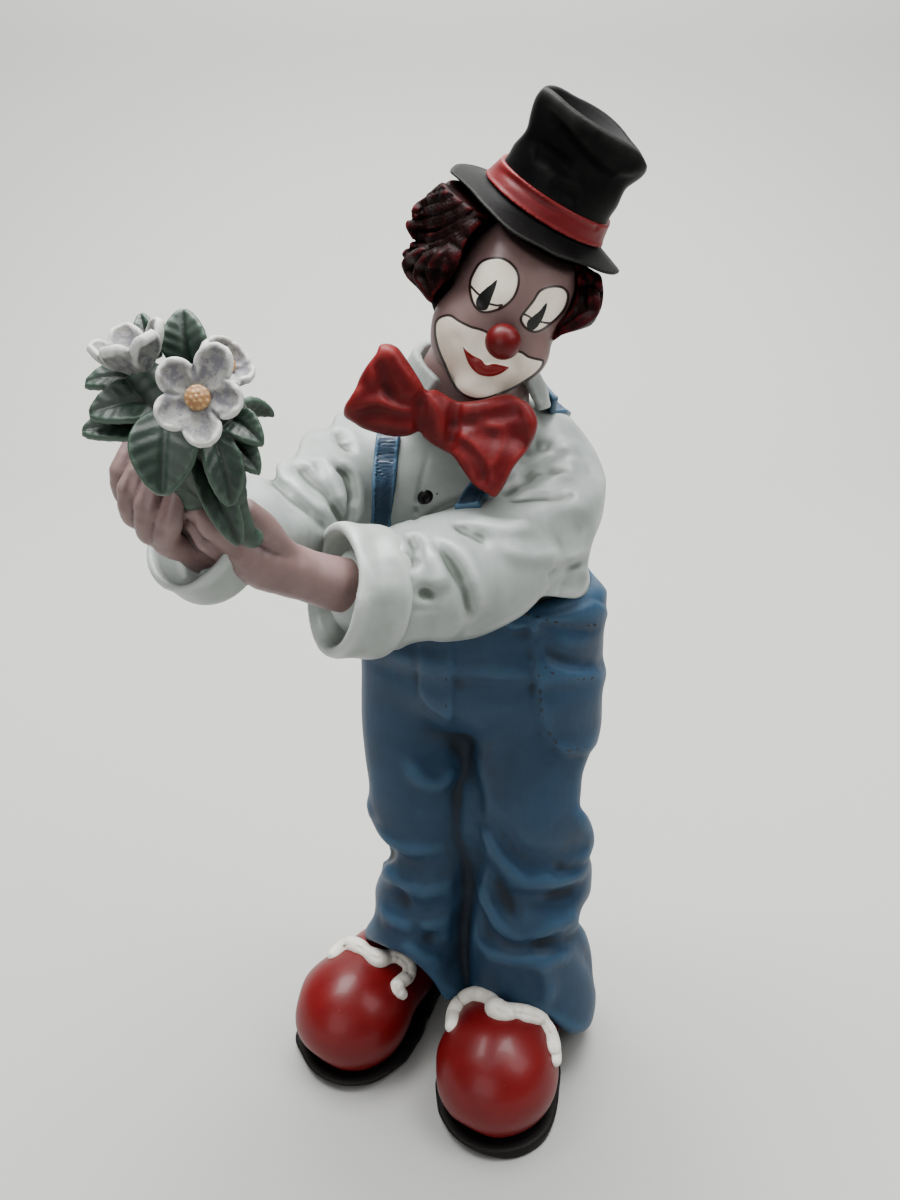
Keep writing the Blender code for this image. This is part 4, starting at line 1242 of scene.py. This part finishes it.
# The top hat is crushed and tilted, with a curled brim, a waisted crown and a dented top.
# It is painted satin black, with grey over the edges, partly a rubbed bloom and partly painted highlight.
hat_black = brushed_paint("hat black", tone(9, 9, 10), tone(2, 2, 3), tone(50, 51, 48), 0.46,
                          wash_and_shade_range=(0.05, 0.4), rub_and_highlight_range=(0.08, 0.45), rub_and_highlight_strength=0.5, grit=0.12, patches=8.0,
                          gloss=0.05)
hat_clay = Clay((-8, -42, 270), (58, 16, 326), 0.42)
HAT_PROFILE = ((0, -4), (12, -4), (15, -2.6), (18, -1.2), (22, -0.9), (25.8, -0.4), (27.4, 0.7),
               (26.8, 1.7), (24.2, 2.1), (20.5, 2.9), (17.6, 4.0), (16.0, 5.6), (15.4, 9), (15.4, 13),
               (16.2, 18), (18.0, 23), (18.8, 26.4), (18.4, 28.4), (17.0, 28.9), (15.0, 28.0), (12, 25.6),
               (8, 24.0), (0, 23.4))
hat_clay.turning(BRIM, UPRIGHT, (1, 0, 0), HAT_PROFILE, squash=0.97)
HAT_OUTLINE = [
    (449.4, 171.4), (456, 164), (467.5, 163), (481, 164), (495, 165), (507, 156), (514, 144), (526, 130),
    (530, 114.6), (534.7, 99), (541.5, 89), (548.4, 85), (560.5, 87), (576, 96), (591.5, 103), (607, 113),
    (621, 127), (631, 140), (640, 151), (647.4, 166), (646.6, 171), (641, 178), (631, 185), (626, 189),
    (621.6, 197), (617, 208), (610, 218), (604, 232), (600, 244), (605, 252), (614, 263), (619.6, 271),
    (614, 275), (602, 273), (588, 267), (572.5, 262), (555, 256), (538, 247), (524, 240), (510.5, 232),
    (500, 223), (490, 213), (479.5, 202), (471, 192), (464, 185), (454.6, 176.6)]
hat_clay.trim(HAT_OUTLINE, (-8, -42, 270), (58, 16, 326), 1.0)
UNDER_RIM = (((540, 122), (556, 142), (574, 160), (596, 176), (622, 184)),)
HAT_CREASES = (
    ((536, 155), (554, 161), (562, 168), (576, 175)),
    ((554, 185), (571, 194), (579, 202)),
    ((534, 140), (550, 152), (570, 166)),
)
RIM_RIDGE = (
    ((548, 88), (555, 101), (562, 113), (571, 123), (579, 135), (590, 147), (603, 161), (614, 168),
     (631, 170), (645, 168)),
)
hat_clay.folds(UNDER_RIM, 4.6, 3.4)
hat_clay.folds(RIM_RIDGE, 1.7, -1.3)
hat_clay.folds(HAT_CREASES, 1.4, 1.9)
make_piece("top_hat", *hat_clay.skin(), hat_black, "clown_figure", "painted_resin", rounds=18)


# The hat band is a flat red ribbon round the foot of the crown, with its end tucked in at the right.
# It is painted in the bow's red, darker along its creases, partly as a wash and partly as painted shade.
band_red = brushed_paint("band red", tone(104, 11, 17), tone(50, 4, 7), tone(136, 36, 36), 0.44,
                         wash_and_shade_range=(0.03, 0.25), rub_and_highlight_range=(0.03, 0.25), rub_and_highlight_strength=0.45, grit=0.15, gloss=0.3)
BAND_LOW, BAND_HIGH, BAND_REACH = 4.9, 10.1, 18.0
band_clay = Clay((-8, -42, 270), (58, 16, 326), 0.42)
part, place = band_clay.near(band_clay.low, band_clay.low + band_clay.count * band_clay.grain)
away = [place[i] - BRIM[i] for i in range(3)]
above = sum(UPRIGHT[i] * away[i] for i in range(3))
apart = np.sqrt(sum(c * c for c in away) - above ** 2)
shell = np.maximum(hat_clay.field - 0.85, -1.4 - hat_clay.field)
heights = np.abs(above - (BAND_LOW + BAND_HIGH) / 2) - (BAND_HIGH - BAND_LOW) / 2
band_clay.field[part] = np.maximum(boxed(shell, heights, 0.4), apart - BAND_REACH)
BAND_CREASES = (
    ((497, 168), (520, 184), (548, 204), (580, 222), (598, 230)),
    ((590, 219), (597, 228), (600, 238)),
    ((508, 176), (534, 198), (560, 214)),
)
band_clay.folds(BAND_CREASES, 0.8, 0.5)
make_piece("hat_band", *band_clay.skin(), band_red, "clown_figure", "painted_resin", rounds=12)


# The bow tie is a big floppy satin bow: a knot and two full wings with folds running out of it.
# It is cast with the collar and painted brick red, dark in the folds partly as a wash and partly as painted
# shade, and lighter on the creases partly from rubbing and partly as painted highlight.
bow_red = brushed_paint("bow red", tone(88, 7, 11), tone(30, 2, 3), tone(126, 30, 30), 0.48,
                        wash_and_shade_range=(0.04, 0.32), rub_and_highlight_range=(0.04, 0.24), rub_and_highlight_strength=0.55, grit=0.2, patches=4.0,
                        gloss=0.2)
bow_clay = Clay((-34, -50, 218), (32, -22, 270), 0.4)
bow_clay.ball((-3, -33.5, 244.5), (5.2, 4.8, 6.8), side=(0.95, 0, -0.3))
for rows in (
    [(-5, -33, 247, 4), (-12, -34, 253, 6), (-17, -34, 258, 7.0)],
    [(-5, -33, 244, 4), (-13, -34, 247, 7), (-22, -34, 249.5, 7)],
    [(-1, -33, 246, 4), (8, -34, 245, 6), (18, -33.5, 244, 6.5)],
    [(-1, -34, 242, 4), (6, -36, 237, 6.5), (14, -37, 234, 7.5)],
    [(4, -35, 240, 4), (10, -38, 230, 7)],
):
    bow_clay.roll(rows, melt=3.0, step=2.0)
BOW_OUTLINE = [
    (343.4, 412.6), (345.6, 403.7), (354.6, 392.5), (359, 379), (366.8, 365.7), (376.9, 352.3),
    (379, 345.6), (385.8, 343.4), (397, 346.7), (408, 361.3), (419.3, 379), (427, 391), (436, 389),
    (455, 400.4), (468.4, 401.4), (484, 399.2), (497.4, 394.7), (508.6, 392.5), (519.7, 399.2),
    (530.9, 405.9), (537.6, 419.3), (536.5, 430.4), (530.9, 446), (519.7, 459.5), (513, 468.4),
    (506.3, 481.8), (499.6, 493), (494, 497.4), (486.3, 493), (472.9, 484), (461.7, 468.4), (453, 456),
    (446, 452), (434.9, 447), (423.8, 438), (419.3, 431), (408, 437), (394.7, 439.4), (381.3, 441.6),
    (367.9, 437), (354.6, 423.8), (345.6, 418.2)]
bow_clay.trim(BOW_OUTLINE, (-34, -50, 218), (32, -22, 270), 1.2)
BOW_FOLDS = (
    ((378, 362), (383, 378), (390, 393), (401, 403), (420, 406)),
    ((358, 416), (379, 413), (398, 417), (418, 418)),
    ((455, 424), (475, 421.5), (500, 415), (520, 412)),
    ((456, 440), (473, 455), (482, 472), (484, 486)),
    ((421, 396), (419, 412), (421, 430)),
    ((456, 403), (454, 424), (451, 448)),
)
BOW_RIDGES = (
    ((384, 349), (395, 357), (406, 374), (418, 388)),
    ((352, 398), (366, 388), (376, 372)),
    ((350, 408), (376, 402), (398, 408), (418, 412)),
    ((462, 428), (486, 422), (502, 432), (500, 450), (491, 468), (489, 484)),
    ((455, 434), (473, 448), (486, 468)),
    ((508, 395), (522, 406), (531, 424), (529, 441)),
    ((430, 396), (438, 412), (440, 440)),
)
bow_clay.folds(BOW_RIDGES, 1.5, -0.9)
bow_clay.folds(BOW_FOLDS, 1.5, 2.2)
make_piece("bow_tie", *bow_clay.skin(), bow_red, "clown_figure", "painted_resin", rounds=12)


# The leaves are thick cupped laurel-like leaves round a bundle of stems, glued between the hands.
# They are cast with a midrib and side veins and painted a deep matt green, lighter on the ribs partly as
# painted highlight and darker in the hollows partly as painted shade.
leaf_green = brushed_paint("leaf green", tone(24, 42, 33), tone(6, 14, 11), tone(60, 84, 68), 0.48,
                           wash_and_shade_range=(0.02, 0.2), rub_and_highlight_range=(0.03, 0.18), rub_and_highlight_strength=0.55, grit=0.2, patches=4.0)
posy_clay = Clay((-74, -112, 226), (-28, -66, 280), 0.36)
STEMS = [(-41.3, -88, 233.5, 1.8), (-44, -89, 240, 3.4), (-48, -89, 251, 7.5), (-50.5, -88.5, 259, 8.0)]
posy_clay.roll(STEMS, melt=1.0)
posy_clay.ball((-50, -88, 256), (11, 10, 10), melt=1.0)
FLOWER_STALKS = (
    [(-50, -89, 257, 6.5), (-46.5, -97, 261.5, 5.0), (-44.8, -102, 264.0, 3.2)],
    [(-51, -89, 258, 6.0), (-55, -90.5, 263, 4.5), (-57.4, -91.8, 267.0, 3.0)],
    [(-49, -89, 258, 6.0), (-46, -89.5, 263, 4.5), (-43.6, -90.2, 267.2, 3.0)],
    [(-51, -88, 253, 6.0), (-52, -87, 247, 5.0), (-52.5, -86, 242, 4.0)],
)
for rows in FLOWER_STALKS:
    posy_clay.roll(rows, melt=1.5)


def plate(clay, root, tip, up, width, thick, half, rise, rim=0.0, melt=0.3):
    """A thin leaf or petal. half gives its half-width along it, and rise its height along and across it."""
    root, tip = np.array(root, float), np.array(tip, float)
    long = np.linalg.norm(tip - root)
    ahead = (tip - root) / long
    across = unit(np.cross(up, ahead))
    face = np.cross(ahead, across)
    shares = np.linspace(0.0, 1.0, 15)
    side = [(share * long, half(share) * width / 2) for share in shares]
    outline = np.array(side + [(a, -b) for a, b in side[::-1]])
    edge = width / 2 + 4.0
    part, place = clay.near(np.minimum(root, tip) - edge, np.maximum(root, tip) + edge)
    away = [place[i] - root[i] for i in range(3)]
    a, b, c = (sum(way[i] * away[i] for i in range(3)) for way in (ahead, across, face))
    flat = outline_distance(outline, a, b)
    lifted = c - rise(a / long, b / (width / 2))
    wall = np.abs(lifted) - thick / 2 - rim * np.exp(-((flat + 0.7) / 0.7) ** 2)
    clay.add(part, boxed(flat, wall, min(thick / 2, 0.5)), melt)


def leaf_half(share):
    """A leaf's half-width: a short stalk, a broad middle and a blunt point."""
    return max(0.1, math.sin(math.pi * (0.06 + 0.92 * share) ** 0.95) ** 0.6)


def leaf_rise(share, side):
    """A leaf arched along its length and cupped across, with its midrib and side veins sunk in."""
    arch = 1.6 * np.sin(math.pi * np.clip(share, 0, 1)) - 1.2 * share
    cup = 1.1 * np.abs(side) ** 1.5
    veins = 0.10 * np.cos((share * 5.5 - np.abs(side) * 1.2) * 2 * math.pi) * np.clip(np.abs(side) * 3, 0, 1)
    return arch + cup + veins - 0.5 * np.exp(-(side / 0.12) ** 2)


LEAVES = (
    ((-52, -97, 261), (-52.5, -106, 248.0), 12.5, (0.1, -0.8, 0.5)),
    ((-44.8, -97, 258), (-41.2, -100, 243.5), 7.5, (0.5, -0.8, 0.2)),
    ((-48, -96, 253), (-41.2, -96.5, 234.0), 6.5, (0.3, -0.9, 0.1)),
    ((-42, -92, 258), (-35.5, -97, 255.5), 6.5, (0.1, -0.7, 0.6)),
    ((-43, -91, 253.5), (-36.5, -97, 250), 6.5, (0.3, -0.8, 0.5)),
    ((-54, -92, 261), (-66.8, -97, 261), 10, (0, -0.6, 0.7)),
    ((-57, -88, 264), (-69, -91, 265.5), 7.5, (0, -0.5, 0.8)),
    ((-56, -92, 256), (-69, -96, 257.5), 8, (0, -0.6, 0.7)),
    ((-50, -85, 266), (-51.2, -84, 277.5), 9, (0, -0.9, 0.3)),
    ((-57, -83, 268), (-60, -81.5, 276.5), 5, (0, -0.9, 0.3)),
    ((-54, -82, 254), (-66, -78, 252), 9, (0, 0.6, 0.7)),
    ((-46, -80, 254), (-38, -72, 256), 9, (0, 0.6, 0.7)),
)
for root, tip, width, up in LEAVES:
    plate(posy_clay, root, tip, up, width, 1.7, leaf_half, leaf_rise)
GLUE_BLOB = (-41.0, -87.0, 232.4)
posy_clay.ball(GLUE_BLOB, (2.6, 2.2, 2.2), melt=0.8)
make_piece("posy_leaves", *posy_clay.skin(), leaf_green, "bouquet", "painted_posy", rounds=8)


# The flowers are three open blooms of five thick petals with raised rims, cast with the leaves.
# They are painted white over grey-violet, which speckles the throat of each; the grey-violet in the hollows
# is partly a wash and partly painted shade, and the whiter ridges are partly painted highlight.
PETAL_GREY = tone(84, 82, 94)


def speckled(start, colour, rough):
    """Grey speckles stippled over the inside of the petals, clear of their rims."""
    dots = start.spots(0.9, 3.0, 0.7).band(0.46, 0.58)
    clear = start.layer("hollow").band(-0.16, 0.04)
    colour = (dots * clear * 0.75).blend(colour, PETAL_GREY)
    return colour, rough


petal_white = brushed_paint("petal white", tone(128, 128, 124), tone(42, 40, 54), tone(202, 202, 198), 0.55,
                            wash_and_shade_range=(0.02, 0.3), rub_and_highlight_range=(0.03, 0.2), rub_and_highlight_strength=0.8, grit=0.3, patches=2.2,
                            extras=speckled)
FLOWERS = (
    ((-44.4, -104, 264.8), (0.10, -0.93, 0.35),
     ((119, 10.3), (46, 8.4), (-30, 8.2), (-96, 8.9), (-174, 8.1)), 1.3),
    ((-57.6, -92, 267.5), (-0.28, -0.18, 0.94),
     ((10, 8.2), (92, 7.8), (165, 8.6), (-130, 7.0), (-55, 7.8)), 6.6),
    ((-43.2, -90.5, 267.6), (0.62, -0.40, 0.68),
     ((30, 5.6), (100, 5.4), (172, 5.2), (-116, 6.0), (-44, 7.2)), 2.6),
)
PETAL_WIDE, PETAL_THICK = 7.0, 1.3
petal_clay = Clay((-74, -116, 252), (-30, -74, 286), 0.32)


def petal_half(share):
    """A petal's half-width: narrow at the throat and round at the tip."""
    if share <= 0.5:
        return 0.26 + 1.45 * share
    return max(0.2, math.sqrt(max(0.0, 1 - ((share - 0.56) / 0.46) ** 2)))


def petal_frame(face):
    """Two directions across a flower that faces this way: to the right, and up."""
    right = unit(np.cross((0, 0, 1), np.negative(face)))
    return right, np.cross(np.negative(face), right)


def petal_rise(share, side):
    """A petal dished along and across, with a faint rib down its middle."""
    return (0.9 * share ** 2 + 0.7 * np.abs(side) ** 2 * share
            - 0.25 * np.exp(-(side / 0.2) ** 2) + 0.10 * np.cos(side * 12.0))


for at, face, petals, cup in FLOWERS:
    right, above = petal_frame(unit(face))
    for turn, reach in petals:
        way = right * math.cos(math.radians(turn)) + above * math.sin(math.radians(turn))
        tip = at + way * reach + unit(face) * cup
        plate(petal_clay, at + way * 0.8, tip, unit(face), PETAL_WIDE, PETAL_THICK, petal_half, petal_rise,
              rim=0.3)
make_piece("petals", *petal_clay.skin(), petal_white, "bouquet", "painted_posy", rounds=8)


# The middle of each flower is a small ochre dome of beaded stamens with dark seeds round its rim.
# The beads are modelled one by one on the dome and painted ochre over brown; the brown between them is partly
# painted shade, and their tops are lighter partly as painted highlight.
stamen_ochre = brushed_paint("stamen ochre", tone(150, 104, 60), tone(34, 18, 10), tone(204, 176, 128), 0.5,
                             wash_and_shade_range=(0.01, 0.12), rub_and_highlight_range=(0.02, 0.12), rub_and_highlight_strength=0.6, grit=0.3, patches=1.5)
centre_clay = Clay((-66, -112, 256), (-36, -82, 282), 0.24)
for at, face, petals, cup in FLOWERS:
    right, above = petal_frame(unit(face))
    middle = np.array(at) + unit(face) * (0.9 + 0.25 * cup)
    centre_clay.ball(middle, (2.3, 2.3, 1.3), axis=face, side=right)
    for count, ring in ((1, 0.0), (6, 0.9), (11, 1.8)):
        for i in range(count):
            turn = 2 * math.pi * i / count + ring
            bead = middle + (right * math.cos(turn) + above * math.sin(turn)) * ring
            bead = bead + unit(face) * (1.25 - 0.22 * ring ** 2)
            centre_clay.ball(bead, (0.42, 0.42, 0.42), melt=0.1)
make_piece("flower_centres", *centre_clay.skin(), stamen_ochre, "bouquet", "painted_posy", rounds=5)


visual_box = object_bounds()
[[list(corner) for corner in box] for box in (cad_box, visual_box)]
